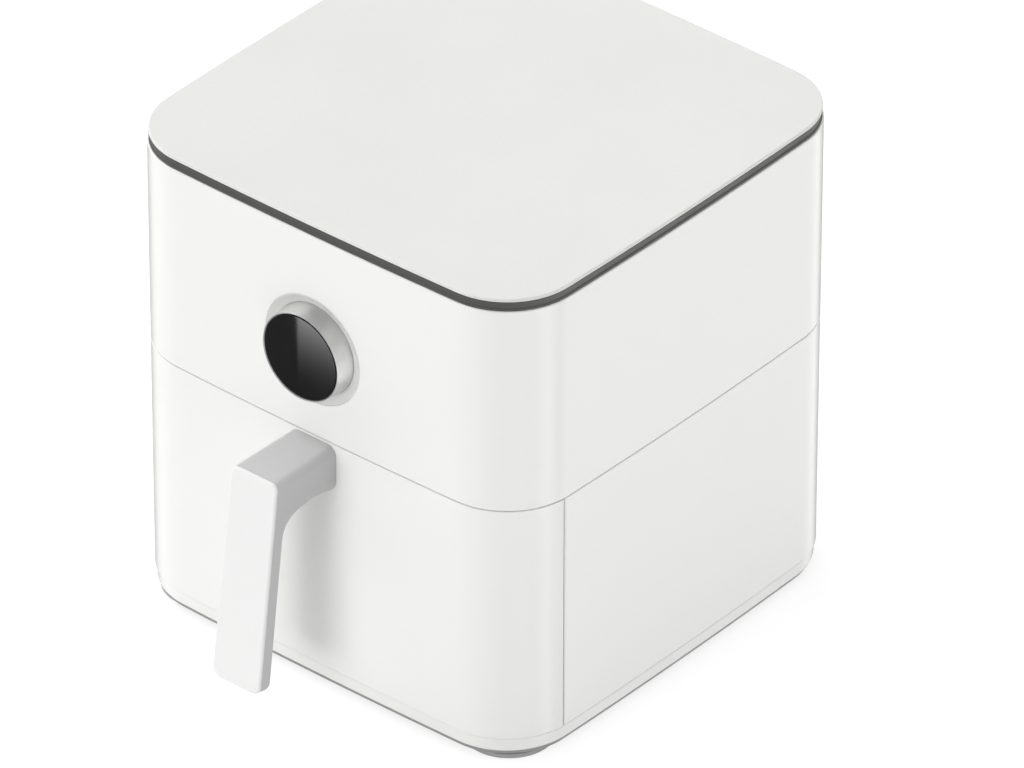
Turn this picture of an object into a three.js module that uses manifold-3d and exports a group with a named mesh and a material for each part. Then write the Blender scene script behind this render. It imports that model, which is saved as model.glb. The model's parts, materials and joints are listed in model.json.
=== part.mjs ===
// A drawer-type air fryer as an assembly of separate pieces.
// Millimetres, +Z up, front towards -Y. The body's middle is x = 0, y = 0 while it is built; at the end
// the whole assembly moves along Y, so that the origin lies on the table under the middle of its length.
import * as THREE from 'three';
import { mergeVertices } from 'three/addons/utils/BufferGeometryUtils.js';
import Module from 'manifold-3d';

const wasm = await Module();
wasm.setup();

// ---------------------------------------------------------------- driving dimensions
const BODY_WIDTH = 295.4; // across the crowned sides, the same in x and y
const CORNER_RADIUS = 45;
const CROWN_RADIUS = 4000; // the gentle outward curve of each side
const SHELL_WALL = 3;

const FOOT_HEIGHT = 3;
const BASE_PLATE_THICKNESS = 3;
const SKIRT_HEIGHT = 8.8;
const LOWER_HEIGHT = 153.9; // skirt to the seam over the drawer
const UPPER_HEIGHT = 131.2; // seam to the top of the upper housing
const BAND_HEIGHT = 5.8; // dark air-intake ring
const LID_THICKNESS = 2.4;

const SEAM_GAP = 0.5; // visible joint lines
const SIDE_SEAM_LEAD = 2.9; // upright joint, ahead of where a front corner's arc meets the side's
const FIT = 0.3; // clearance of pieces that stay put
const SLIDE_GAP = 0.3; // clearance of pieces that slide or turn
const SCREW_GAP = 0.3;

// base
const SKIRT_INSET = 1.2;
const SKIRT_WALL = 3;
const SKIRT_ROUND = 1.5;
const PLATE_INSET = 3.5;
const FOOT_RADIUS = 27;
const FOOT_LEAD = 10.8; // how far the feet sit beyond the corners' centres, along x and y
const SCREW_RADIUS = 2;
const SCREW_HEAD_RADIUS = 3.6;
const SCREW_HEAD_HEIGHT = 2;
const BASE_SCREW_LENGTH = 11;
const BOSS_RADIUS = 6;
const BOSS_HEIGHT = 8;
const FOOT_HOLE_RADIUS = 4.4;

// lid and intake ring
const LID_INSET = 0.75;
const LID_EDGE_ROUND = 0.8;
const BAND_INSET = 0.9;
const BAND_WIDTH = 7;
const LEDGE_WIDTH = 7; // inward ledge at the top of the upper housing
const LEDGE_THICKNESS = 3;

// inner frame: the tunnel that the drawer runs in, and the deck over it
const FRAME_WALL = 2.5;
const FRAME_SIDE_GAP = 12; // air gap between shell and tunnel, left and right
const FRAME_REAR_GAP = 9;
const FRAME_CORNER_RADIUS = 34;
const MOUTH_SETBACK = 27; // tunnel mouth behind the front crown
const DECK_DROP = 5.7; // deck top below the drawer seam
const DECK_THICKNESS = 3;
const COLLAR_WALL = 2.5;
const COLLAR_ABOVE_SEAM = 7.3;
const RAIL_WIDTH = 12;
const RAIL_OFFSET = 66;
const RAIL_END_MARGIN = 12;

// pan and grill plate
const PAN_WALL = 1.5;
const PAN_SIDE_GAP = 6.5; // pan wall to tunnel wall
const PAN_FLOOR_LIFT = 11; // pan underside above the tunnel floor
const PAN_HEADROOM = 10; // pan rim below the deck
const PAN_RIM = 3;
const PAN_RIM_THICKNESS = 2;
const PAN_CORNER_RADIUS = 34;
const PLATE_LIFT = 16.5; // grill plate above the pan floor
const PLATE_THICKNESS = 1.5;
const PLATE_EDGE_GAP = 3;
const PLATE_HOLE_RADIUS = 4;
const PLATE_HOLE_PITCH = 34;
const BUMPER_LENGTH = 16;
const BUMPER_DEPTH = 8;
const BUMPER_ABOVE_PLATE = 3.5;

// drawer front and handle
const INNER_DEPTH = 16; // drawer inner panel, behind the front panel
const INNER_MARGIN = 6;
const INNER_WALL = 2.4;
const INNER_END = 14;
const BRACKET_WIDTH = 70;
const BRACKET_HEIGHT = 80;
const BRACKET_SHEET = 1.6;
const BRACKET_DROP = 12; // top of the bracket below the pan rim
const HANDLE_WIDTH = 34;
const HANDLE_EDGE_ROUND = 2;
const HANDLE_BELOW_SEAM = 1.05;
const ARM_HEIGHT = 26;
const ARM_REACH = 49.7; // front crown to the grip's top front edge
const GRIP_HEIGHT = 132.4;
const GRIP_LEAN = 18.3;
const GRIP_THICKNESS = 10.4;
const GRIP_FILLET = 15;
const GRIP_TIP_ROUND = 3;
const COVER_THICKNESS = 1.8; // white cover on the front of the grip
const COVER_PEG_WIDTH = 6; // square pegs that hold the cover, and their places along the grip
const COVER_PEG_DEPTH = 4;
const COVER_PEG_PLACES = [24, 100];
const HANDLE_SCREW_SPACING = 18;
const HANDLE_SCREW_BITE = 10;

// dial
const DIAL_ABOVE_SEAM = 56.6;
const BEZEL_RADIUS = 34.4;
const BEZEL_LIP = 5.5;
const BEZEL_DISH = 1.8;
const BEZEL_WALL = 2;
const BEZEL_DEPTH = 20;
const BEZEL_FLANGE = 3.6;
const RING_GAP = 0.6; // bezel's well to the ring
const RING_FLARE = 0.9; // how much narrower the ring is at its front
const DIAL_PROUD = 10.3; // dial front face in front of the body's crown
const RING_RIM = 1.1; // metal edge seen round the glass
const GLASS_THICKNESS = 1.5;
const RING_STEP = 1.2; // width of the ledge in the ring that the glass covers
const RING_SKIRT_DEPTH = 3.5;
const CARRIER_FLANGE = 1.5;
const HUB_RADIUS = 12;
const HUB_LENGTH = 6;
const ENCODER_SHAFT_RADIUS = 3;
const ENCODER_BUSH_RADIUS = 4.9;
const ENCODER_SIZE = 14;
const ENCODER_DEPTH = 6;
const PRESS_TRAVEL = 0.8;
const CONTROL_BOARD = { width: 84, height: 58, thickness: 1.6 };

// heater, fan and motor, all on one vertical axis
const CHAMBER_Y = 3;
const CHAMBER_SIDES = 40; // facets of the round chamber pieces that nest
const OPENING_RADIUS = 98;
const HOUSING_RADIUS = 104;
const HOUSING_HEIGHT = 50;
const HOUSING_SHEET = 1.2;
const HOUSING_FLANGE = 8;
const GUARD_BAR = 3;
const GUARD_THICKNESS = 1.5;
const GUARD_RING_RADII = [30, 62];
const ELEMENT_TUBE_RADIUS = 3.2;
const ELEMENT_OUTER_RADIUS = 84;
const ELEMENT_INNER_RADIUS = 58;
const ELEMENT_LEAD_RADIUS = 94;
const ELEMENT_LIFT = 20; // outer turn above the deck
const ELEMENT_STEP = 9; // inner turn below the outer one
const HOT_FAN_RADIUS = 72;
const HOT_FAN_HEIGHT = 12;
const HOT_FAN_TOP_GAP = 4;
const COOLING_FAN_RADIUS = 45;
const COOLING_FAN_HEIGHT = 9;
const COOLING_FAN_LIFT = 4;
const FAN_SHEET = 1.2;
const FAN_HUB_RADIUS = 9;
const SHAFT_RADIUS = 3;
const NUT_RADIUS = 6.5;
const NUT_HEIGHT = 4;
const STANDOFF_HEIGHT = 18;
const STANDOFF_RADIUS = 4;
const STANDOFF_CIRCLE = 57;
const BRACKET_PLATE = 2;
const MOTOR_RADIUS = 33;
const MOTOR_HEIGHT = 36;
const MOTOR_CAP = 6;
const SHROUD_WALL = 1.5;
const SHROUD_GAP = 3;
const DUCT = { width: 84, height: 28, wall: 1.5, lift: 14, stickOut: 3 };
const VENT = {
  width: 124,
  height: 92,
  depth: 34.5,
  wall: 2.5,
  cornerRadius: 12,
  aboveSeam: 4,
  slots: 7,
  slotHeight: 4,
};
const GLAND = {
  x: -70,
  z: 48,
  neckRadius: 8,
  flangeRadius: 11.5,
  holeRadius: 3.8,
  behindWall: 4,
  flange: 3.5,
};
const POWER_BOARD = { length: 116, height: 96, thickness: 1.6, x: 122, postHeight: 34, post: 8, bite: 3 };
const CUTOUT = { x: 66, y: -46, radius: 9, height: 8 };
const SENSOR = { x: -72, y: 44, radius: 2.5, depth: 16, headRadius: 6, headHeight: 5 };
const SWITCH = { width: 12, depth: 14, height: 7.7, x: 100, plunger: 3, stroke: 2.5 };

// ---------------------------------------------------------------- levels and places worked out from them
const HALF = BODY_WIDTH / 2;
const zPlate = FOOT_HEIGHT + BASE_PLATE_THICKNESS;
const zSkirt = zPlate + SKIRT_HEIGHT;
const zSeam = zSkirt + LOWER_HEIGHT;
const zBody = zSeam + UPPER_HEIGHT;
const zBand = zBody + BAND_HEIGHT;
const zLid = zBand + LID_THICKNESS;
const zDeck = zSeam - DECK_DROP; // top of the deck
const zCeiling = zDeck - DECK_THICKNESS;
const zFloor = zPlate + FRAME_WALL;
const zPan = zFloor + PAN_FLOOR_LIFT;
const zPanFloor = zPan + PAN_WALL;
const zRim = zCeiling - PAN_HEADROOM;
const zGrill = zPanFloor + PLATE_LIFT;
const zDial = zSeam + DIAL_ABOVE_SEAM;
const zHousing = zDeck + HOUSING_HEIGHT; // top of the heater housing

const cornerReach = CROWN_RADIUS - CORNER_RADIUS;
const crownCentre = HALF - CROWN_RADIUS;
const cornerCentre = (crownCentre + Math.sqrt(2 * cornerReach ** 2 - crownCentre ** 2)) / 2;
const cornerTilt = Math.asin(cornerCentre / cornerReach);
const ySideSeam = -(cornerCentre + CORNER_RADIUS * Math.sin(cornerTilt)) - SIDE_SEAM_LEAD;
const yMouth = -HALF + MOUTH_SETBACK;
const yInner = -HALF + SHELL_WALL + INNER_DEPTH; // rear face of the drawer's inner panel
const frameHalf = HALF - SHELL_WALL - FRAME_SIDE_GAP;
const frameRear = HALF - SHELL_WALL - FRAME_REAR_GAP;
const panHalf = frameHalf - FRAME_WALL - PAN_SIDE_GAP;
const panFront = CHAMBER_Y - panHalf;
const footCentres = [-1, 1].flatMap((sy) => [-1, 1].map((sx) => ({
  x: sx * (cornerCentre + FOOT_LEAD),
  y: sy * (cornerCentre + FOOT_LEAD),
  name: `${sy < 0 ? 'front' : 'rear'}_${sx < 0 ? 'left' : 'right'}`,
})));

// ---------------------------------------------------------------- solids
const withoutCollapsed = (index) => {
  const kept = [];
  for (let i = 0; i < index.length; i += 3) {
    const [a, b, c] = [index[i], index[i + 1], index[i + 2]];
    if (a !== b && b !== c && c !== a) kept.push(a, b, c);
  }
  return kept;
};

const solidFromIndex = (position, index) => new wasm.Manifold(
  new wasm.Mesh({ numProp: 3, vertProperties: position, triVerts: new Uint32Array(index) }),
);

/** A closed geometry as a solid with its faces turned outward. */
function solidFrom(geometry) {
  const bare = geometry.index ? geometry.toNonIndexed() : geometry.clone();
  for (const name of Object.keys(bare.attributes)) {
    if (name !== 'position') bare.deleteAttribute(name);
  }
  const merged = mergeVertices(bare);
  const position = merged.getAttribute('position').array;
  const index = withoutCollapsed(merged.index.array);
  const solid = solidFromIndex(position, index);
  return solid.volume() > 0 ? solid : solidFromIndex(position, index.reverse());
}

const asSolid = (shape) => (shape.isBufferGeometry ? solidFrom(shape) : shape);
const join = (first, ...rest) => rest.reduce((sum, next) => sum.add(asSolid(next)), asSolid(first));
const cut = (first, ...tools) => tools.reduce((left, tool) => left.subtract(asSolid(tool)), asSolid(first));
const common = (first, ...rest) => rest.reduce((left, next) => left.intersect(asSolid(next)), asSolid(first));

/** A solid as a flat-shaded geometry. */
function geometryFrom(solid) {
  const { vertProperties, triVerts } = solid.getMesh();
  const geometry = new THREE.BufferGeometry();
  geometry.setAttribute('position', new THREE.BufferAttribute(vertProperties, 3));
  geometry.setIndex(new THREE.BufferAttribute(triVerts, 1));
  const flat = geometry.toNonIndexed();
  flat.computeVertexNormals();
  return flat;
}

// ---------------------------------------------------------------- outlines and basic shapes
const point = (x, y) => new THREE.Vector2(x, y);

const arc = (x, y, radius, from, to, steps) => Array.from({ length: steps + 1 }, (_, i) => {
  const angle = from + ((to - from) * i) / steps;
  return point(x + radius * Math.cos(angle), y + radius * Math.sin(angle));
});

/** The body's plan: a square with crowned sides and round corners, moved inwards by an inset. */
function plan(inset) {
  const sideSteps = 4;
  const cornerSteps = 8;
  const outline = [];
  for (let quarter = 0; quarter < 4; quarter += 1) {
    const turn = (quarter * Math.PI) / 2;
    const side = point(crownCentre, 0).rotateAround(point(0, 0), turn);
    const corner = point(cornerCentre, cornerCentre).rotateAround(point(0, 0), turn);
    outline.push(...arc(side.x, side.y, CROWN_RADIUS - inset, turn - cornerTilt, turn + cornerTilt, sideSteps)
      .slice(0, -1));
    outline.push(...arc(corner.x, corner.y, CORNER_RADIUS - inset,
      turn + cornerTilt, turn + Math.PI / 2 - cornerTilt, cornerSteps).slice(0, -1));
  }
  return outline;
}

/** A rectangle centred on the origin with round corners. */
function roundedRectangle(width, height, radius, steps = 5) {
  const x = width / 2 - radius;
  const y = height / 2 - radius;
  const corners = [[x, y], [-x, y], [-x, -y], [x, -y]];
  const quarter = Math.PI / 2;
  return corners.flatMap(([cx, cy], i) => arc(cx, cy, radius, i * quarter, (i + 1) * quarter, steps));
}

/** A polygon whose corners, each [x, y, radius], are rounded with arcs. */
function filletedOutline(corners, steps = 4) {
  return corners.flatMap(([x, y, radius], i) => {
    const here = point(x, y);
    if (!radius) return [here];
    const before = corners[(i + corners.length - 1) % corners.length];
    const after = corners[(i + 1) % corners.length];
    const back = point(before[0], before[1]).sub(here).normalize();
    const ahead = point(after[0], after[1]).sub(here).normalize();
    const half = Math.acos(back.dot(ahead)) / 2;
    const start = here.clone().addScaledVector(back, radius / Math.tan(half));
    const end = here.clone().addScaledVector(ahead, radius / Math.tan(half));
    const centre = here.clone().addScaledVector(back.clone().add(ahead).normalize(), radius / Math.sin(half));
    const from = start.clone().sub(centre).angle();
    const sweep = end.clone().sub(centre).angle() - from;
    const turn = sweep - 2 * Math.PI * Math.round(sweep / (2 * Math.PI));
    return arc(centre.x, centre.y, radius, from, from + turn, steps);
  });
}

function extrude(outline, depth, hole) {
  const shape = new THREE.Shape(outline);
  if (hole) shape.holes.push(new THREE.Path(hole));
  return new THREE.ExtrudeGeometry(shape, { depth, bevelEnabled: false });
}

const prism = (outline, low, high, hole) => extrude(outline, high - low, hole).translate(0, 0, low);
const prismAlongY = (outline, from, to) => extrude(outline, to - from)
  .translate(0, 0, -to).rotateX(Math.PI / 2);
const alongX = new THREE.Matrix4().makeBasis(
  new THREE.Vector3(0, 1, 0),
  new THREE.Vector3(0, 0, 1),
  new THREE.Vector3(1, 0, 0),
);
const prismAlongX = (outline, from, to) => extrude(outline, to - from)
  .translate(0, 0, from).applyMatrix4(alongX);

const box = ([x0, x1], [y0, y1], [z0, z1]) => new THREE.BoxGeometry(x1 - x0, y1 - y0, z1 - z0)
  .translate((x0 + x1) / 2, (y0 + y1) / 2, (z0 + z1) / 2);

const both = (half) => [-half, half];

const cylinder = (radius, low, high, x = 0, y = 0, sides = 20) => new THREE.CylinderGeometry(
  radius, radius, high - low, sides,
).rotateX(Math.PI / 2).translate(x, y, (low + high) / 2);

const cylinderAlongY = (radius, from, to, x, z, sides = 20) => new THREE.CylinderGeometry(
  radius, radius, to - from, sides,
).translate(x, (from + to) / 2, z);

/** A body of revolution about Z, from [radius, height] pairs. */
const turned = (profile, sides = 32) => new THREE.LatheGeometry(
  profile.map(([radius, height]) => point(radius, height)), sides,
).rotateX(Math.PI / 2);

const ring = (outer, inner, low, high, sides = 24) => turned(
  [[inner, low], [outer, low], [outer, high], [inner, high], [inner, low]], sides,
);

// ---------------------------------------------------------------- finishes
const FINISHES = {
  whiteGloss: { color: 0xf2f2ee, roughness: 0.22, metalness: 0 },
  whiteMatte: { color: 0xe6e7e3, roughness: 0.6, metalness: 0 },
  handleWhite: { color: 0xefefed, roughness: 0.5, metalness: 0 },
  handleGrey: { color: 0xd0d0d1, roughness: 0.5, metalness: 0 },
  darkPlastic: { color: 0x3d3d3c, roughness: 0.6, metalness: 0 },
  greyRubber: { color: 0x6f7070, roughness: 0.8, metalness: 0 },
  bezelGrey: { color: 0xc9c9c6, roughness: 0.35, metalness: 0.4 },
  brushedSteel: { color: 0xc4c4c4, roughness: 0.3, metalness: 1 },
  sheetSteel: { color: 0xb4b6b8, roughness: 0.4, metalness: 1 },
  blackGlass: { color: 0x101010, roughness: 0.05, metalness: 0 },
  nonStick: { color: 0x262728, roughness: 0.45, metalness: 0.2 },
  board: { color: 0x1f5a38, roughness: 0.6, metalness: 0 },
  silicone: { color: 0x2b2b2b, roughness: 0.75, metalness: 0 },
};

const fryer = new THREE.Group();

function piece(name, shape, finish, parent = fryer) {
  const mesh = new THREE.Mesh(geometryFrom(asSolid(shape)), new THREE.MeshStandardMaterial(FINISHES[finish]));
  mesh.name = name;
  parent.add(mesh);
  return mesh;
}

// ---------------------------------------------------------------- base
function addBase() {
  const screwHole = (spot, low, high) => cylinder(SCREW_RADIUS + SCREW_GAP, low, high, spot.x, spot.y, 12);
  for (const spot of footCentres) {
    const edge = 0.8;
    const pad = turned([[FOOT_HOLE_RADIUS, 0], [FOOT_RADIUS - edge, 0], [FOOT_RADIUS, edge],
      [FOOT_RADIUS, FOOT_HEIGHT], [FOOT_HOLE_RADIUS, FOOT_HEIGHT], [FOOT_HOLE_RADIUS, 0]], 24)
      .translate(spot.x, spot.y, 0);
    piece(`foot_${spot.name}`, pad, 'greyRubber');
    const headLow = FOOT_HEIGHT - SCREW_HEAD_HEIGHT;
    const screw = join(
      cylinder(SCREW_HEAD_RADIUS, headLow, FOOT_HEIGHT, spot.x, spot.y, 16),
      cylinder(SCREW_RADIUS, headLow, FOOT_HEIGHT + BASE_SCREW_LENGTH, spot.x, spot.y, 12),
    );
    piece(`base_screw_${spot.name}`, screw, 'sheetSteel');
  }
  const plate = prism(plan(PLATE_INSET), FOOT_HEIGHT, zPlate);
  const holes = footCentres.map((spot) => screwHole(spot, FOOT_HEIGHT - 1, zPlate + 1));
  piece('base_plate', cut(plate, ...holes), 'darkPlastic');

  const round = SKIRT_ROUND;
  const skirt = join(
    prism(plan(SKIRT_INSET), zPlate + round / 2, zSkirt),
    prism(plan(SKIRT_INSET + round / 2), zPlate, zPlate + round / 2),
  );
  const inside = prism(plan(SKIRT_INSET + SKIRT_WALL), zPlate - 1, zSkirt + 1);
  piece('base_skirt', cut(skirt, inside), 'whiteGloss');
}

// ---------------------------------------------------------------- inner frame
function tunnelOutline(inset, front) {
  const half = frameHalf - inset;
  const rear = frameRear - inset;
  const radius = FRAME_CORNER_RADIUS - inset;
  return [
    point(-half, front),
    point(half, front),
    ...arc(half - radius, rear - radius, radius, 0, Math.PI / 2, 6),
    ...arc(-half + radius, rear - radius, radius, Math.PI / 2, Math.PI, 6),
  ];
}

function addInnerFrame() {
  const outside = SHELL_WALL + FIT;
  const atMouth = [yMouth, yMouth + FRAME_WALL];
  const frameTop = zCeiling - FIT;
  const tunnel = prism(tunnelOutline(0, yMouth), zPlate, frameTop);
  const flange = common(
    prism(plan(outside), zSkirt + FIT, frameTop),
    box(both(HALF), atMouth, [0, zBody]),
  );
  const bosses = footCentres.map(({ x, y }) => (
    cylinder(BOSS_RADIUS, zFloor - 1, zFloor + BOSS_HEIGHT, x, y)
  ));
  const hollow = prism(tunnelOutline(FRAME_WALL, yMouth - 1), zFloor, zDeck);
  const screwHoles = footCentres.map(({ x, y }) => cylinder(
    SCREW_RADIUS + SCREW_GAP, zPlate - 1, FOOT_HEIGHT + BASE_SCREW_LENGTH + SCREW_GAP, x, y, 12,
  ));
  piece('inner_frame', cut(join(cut(join(tunnel, flange), hollow), ...bosses), ...screwHoles), 'darkPlastic');

  const lintelLow = zSeam + SEAM_GAP;
  const lintelHigh = lintelLow + FRAME_WALL;
  const deck = prism(plan(outside), zCeiling, zDeck);
  const collar = prism(plan(outside), zCeiling, zSeam + COLLAR_ABOVE_SEAM, plan(outside + COLLAR_WALL));
  const inFront = box(both(BODY_WIDTH), [-BODY_WIDTH, yMouth], [0, lintelLow]);
  const lintel = common(
    prism(plan(outside), lintelLow, lintelHigh),
    box(both(HALF), [-HALF, atMouth[1]], [0, zBody]),
  );
  const riser = box(both(frameHalf), atMouth, [zCeiling, lintelHigh]);
  const opening = cylinder(OPENING_RADIUS, zCeiling - 1, zDeck + 1, 0, CHAMBER_Y, CHAMBER_SIDES);
  const halfPost = POWER_BOARD.post / 2;
  const posts = [-1, 1].map((side) => {
    const middle = side * (POWER_BOARD.length / 2 - POWER_BOARD.bite + halfPost);
    return box(
      [POWER_BOARD.x - halfPost, POWER_BOARD.x + halfPost],
      [middle - halfPost, middle + halfPost],
      [zDeck - 1, zDeck + POWER_BOARD.postHeight],
    );
  });
  const slotHalf = POWER_BOARD.thickness / 2 + FIT;
  const slot = box(
    [POWER_BOARD.x - slotHalf, POWER_BOARD.x + slotHalf],
    both(POWER_BOARD.length / 2 + FIT),
    [zDeck, zBody],
  );
  piece('deck', cut(
    join(cut(join(deck, collar), inFront), lintel, riser, ...posts), opening, slot,
  ), 'darkPlastic');

  for (const side of [-1, 1]) {
    const low = zFloor;
    const high = zPan - SLIDE_GAP;
    const length = frameRear - FRAME_WALL - yMouth - 2 * RAIL_END_MARGIN;
    const middle = (frameRear - FRAME_WALL + yMouth) / 2;
    const outline = roundedRectangle(RAIL_WIDTH, length, RAIL_WIDTH / 2 - 1, 3);
    const rail = prism(outline, low, high).translate(side * RAIL_OFFSET, middle, 0);
    piece(`drawer_rail_${side < 0 ? 'left' : 'right'}`, rail, 'greyRubber');
  }
}

// ---------------------------------------------------------------- housing shells
function addShells() {
  const shell = (low, high) => prism(plan(0), low, high, plan(SHELL_WALL));
  const seamBehind = box(both(BODY_WIDTH), [ySideSeam + SEAM_GAP / 2, BODY_WIDTH], [0, zLid]);
  const glandHole = cylinderAlongY(GLAND.neckRadius + FIT, HALF - 20, HALF + 5, GLAND.x, GLAND.z);
  const lower = cut(common(shell(zSkirt + SEAM_GAP, zSeam - SEAM_GAP / 2), seamBehind), glandHole);
  piece('lower_housing', lower, 'whiteGloss');

  const ledge = prism(plan(SHELL_WALL / 2), zBody - LEDGE_THICKNESS, zBody, plan(SHELL_WALL + LEDGE_WIDTH));
  const dialHole = cylinderAlongY(BEZEL_RADIUS + FIT, -HALF - 5, -HALF + 20, 0, zDial, 48);
  const ductHole = box(
    both(DUCT.width / 2 + FIT),
    [HALF - 20, HALF + 5],
    [zDeck + DUCT.lift - FIT, zDeck + DUCT.lift + DUCT.height + FIT],
  );
  const upper = cut(join(shell(zSeam + SEAM_GAP / 2, zBody), ledge), dialHole, ductHole);
  piece('upper_housing', upper, 'whiteGloss');

  const band = prism(plan(BAND_INSET), zBody, zBand, plan(BAND_INSET + BAND_WIDTH));
  piece('intake_ring', band, 'darkPlastic');

  const edge = LID_EDGE_ROUND;
  const lid = new THREE.ExtrudeGeometry(new THREE.Shape(plan(LID_INSET + edge)), {
    depth: LID_THICKNESS - 2 * edge,
    bevelThickness: edge,
    bevelSize: edge,
    bevelSegments: 1,
  }).translate(0, 0, zBand + edge);
  piece('top_cover', lid, 'whiteMatte');
}

// ---------------------------------------------------------------- rear vent and cord gland
function addRear() {
  const middle = zSeam + VENT.aboveSeam + VENT.height / 2;
  const outer = prismAlongY(
    roundedRectangle(VENT.width, VENT.height, VENT.cornerRadius),
    HALF - 10,
    HALF + VENT.depth,
  ).translate(0, 0, middle);
  const inner = prismAlongY(
    roundedRectangle(VENT.width - 2 * VENT.wall, VENT.height - 2 * VENT.wall, VENT.cornerRadius - VENT.wall),
    HALF - 11,
    HALF + VENT.depth - VENT.wall,
  ).translate(0, 0, middle);
  const pitch = (VENT.height - 2 * VENT.cornerRadius) / (VENT.slots - 1);
  const slots = Array.from({ length: VENT.slots }, (_, i) => {
    const z = middle + (i - (VENT.slots - 1) / 2) * pitch;
    return box(
      both(VENT.width / 2 - VENT.cornerRadius),
      [HALF + VENT.depth - 2 * VENT.wall, HALF + VENT.depth + 1],
      [z - VENT.slotHeight / 2, z + VENT.slotHeight / 2],
    );
  });
  const body = prism(plan(-FIT), 0, zLid);
  piece('rear_vent_cover', cut(outer, inner, body, ...slots), 'whiteMatte');

  const ductLow = zDeck + DUCT.lift;
  const duct = cut(
    box(both(DUCT.width / 2), [CHAMBER_Y, HALF + DUCT.stickOut], [ductLow, ductLow + DUCT.height]),
    box(
      both(DUCT.width / 2 - DUCT.wall),
      [0, BODY_WIDTH],
      [ductLow + DUCT.wall, ductLow + DUCT.height - DUCT.wall],
    ),
    cylinder(HOUSING_RADIUS + FIT, 0, zLid, 0, CHAMBER_Y, CHAMBER_SIDES),
  );
  piece('exhaust_duct', duct, 'sheetSteel');

  const { neckRadius, flangeRadius, holeRadius, flange } = GLAND;
  const depth = SHELL_WALL + GLAND.behindWall;
  const dip = HALF - crownHeight(GLAND.x);
  const gland = turned([
    [holeRadius, -depth], [neckRadius, -depth], [neckRadius, FIT], [flangeRadius, FIT],
    [flangeRadius - 1.5, flange], [holeRadius, flange], [holeRadius, -depth],
  ], 20).rotateX(-Math.PI / 2).translate(GLAND.x, HALF - dip + FIT, GLAND.z);
  piece('cord_gland', gland, 'greyRubber');
}

/** Distance of the body's side from its middle plane, at a distance along that side. */
function crownHeight(along) {
  return crownCentre + Math.sqrt(CROWN_RADIUS ** 2 - along ** 2);
}

// ---------------------------------------------------------------- heater, fan and motor
function fan(radius, low, height, blades, sweep) {
  const hub = cylinder(FAN_HUB_RADIUS, low, low + height, 0, 0, 24);
  const disc = cylinder(radius, low + height - FAN_SHEET, low + height, 0, 0, 28);
  const vanes = Array.from({ length: blades }, (_, i) => box(
    [FAN_HUB_RADIUS - 1, radius - 2],
    both(FAN_SHEET / 2),
    [low, low + height - FAN_SHEET / 2],
  ).rotateZ(sweep).rotateZ((2 * Math.PI * i) / blades));
  const bore = cylinder(SHAFT_RADIUS + FIT, low - 1, low + height + 1, 0, 0, 16);
  return cut(join(hub, disc, ...vanes), bore);
}

function elementPath() {
  const top = zHousing + 12 - zDeck;
  const outer = ELEMENT_LIFT;
  const inner = ELEMENT_LIFT - ELEMENT_STEP;
  const spot = (radius, degrees, height) => {
    const angle = THREE.MathUtils.degToRad(degrees);
    return new THREE.Vector3(radius * Math.cos(angle), radius * Math.sin(angle), height);
  };
  const points = [top, top - 16, outer + 12].map((height) => spot(ELEMENT_LEAD_RADIUS, 70, height));
  for (let degrees = 84; degrees <= 396; degrees += 24) {
    points.push(spot(ELEMENT_OUTER_RADIUS, degrees, outer));
  }
  points.push(spot((ELEMENT_OUTER_RADIUS + ELEMENT_INNER_RADIUS) / 2, 412, (outer + inner) / 2));
  for (let degrees = 396; degrees >= 132; degrees -= 24) {
    points.push(spot(ELEMENT_INNER_RADIUS, degrees, inner));
  }
  points.push(spot(ELEMENT_INNER_RADIUS + 12, 112, inner), spot(ELEMENT_LEAD_RADIUS - 6, 110, inner));
  points.push(...[outer, outer + 12, top - 16, top].map((height) => spot(ELEMENT_LEAD_RADIUS, 110, height)));
  return points;
}

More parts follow.
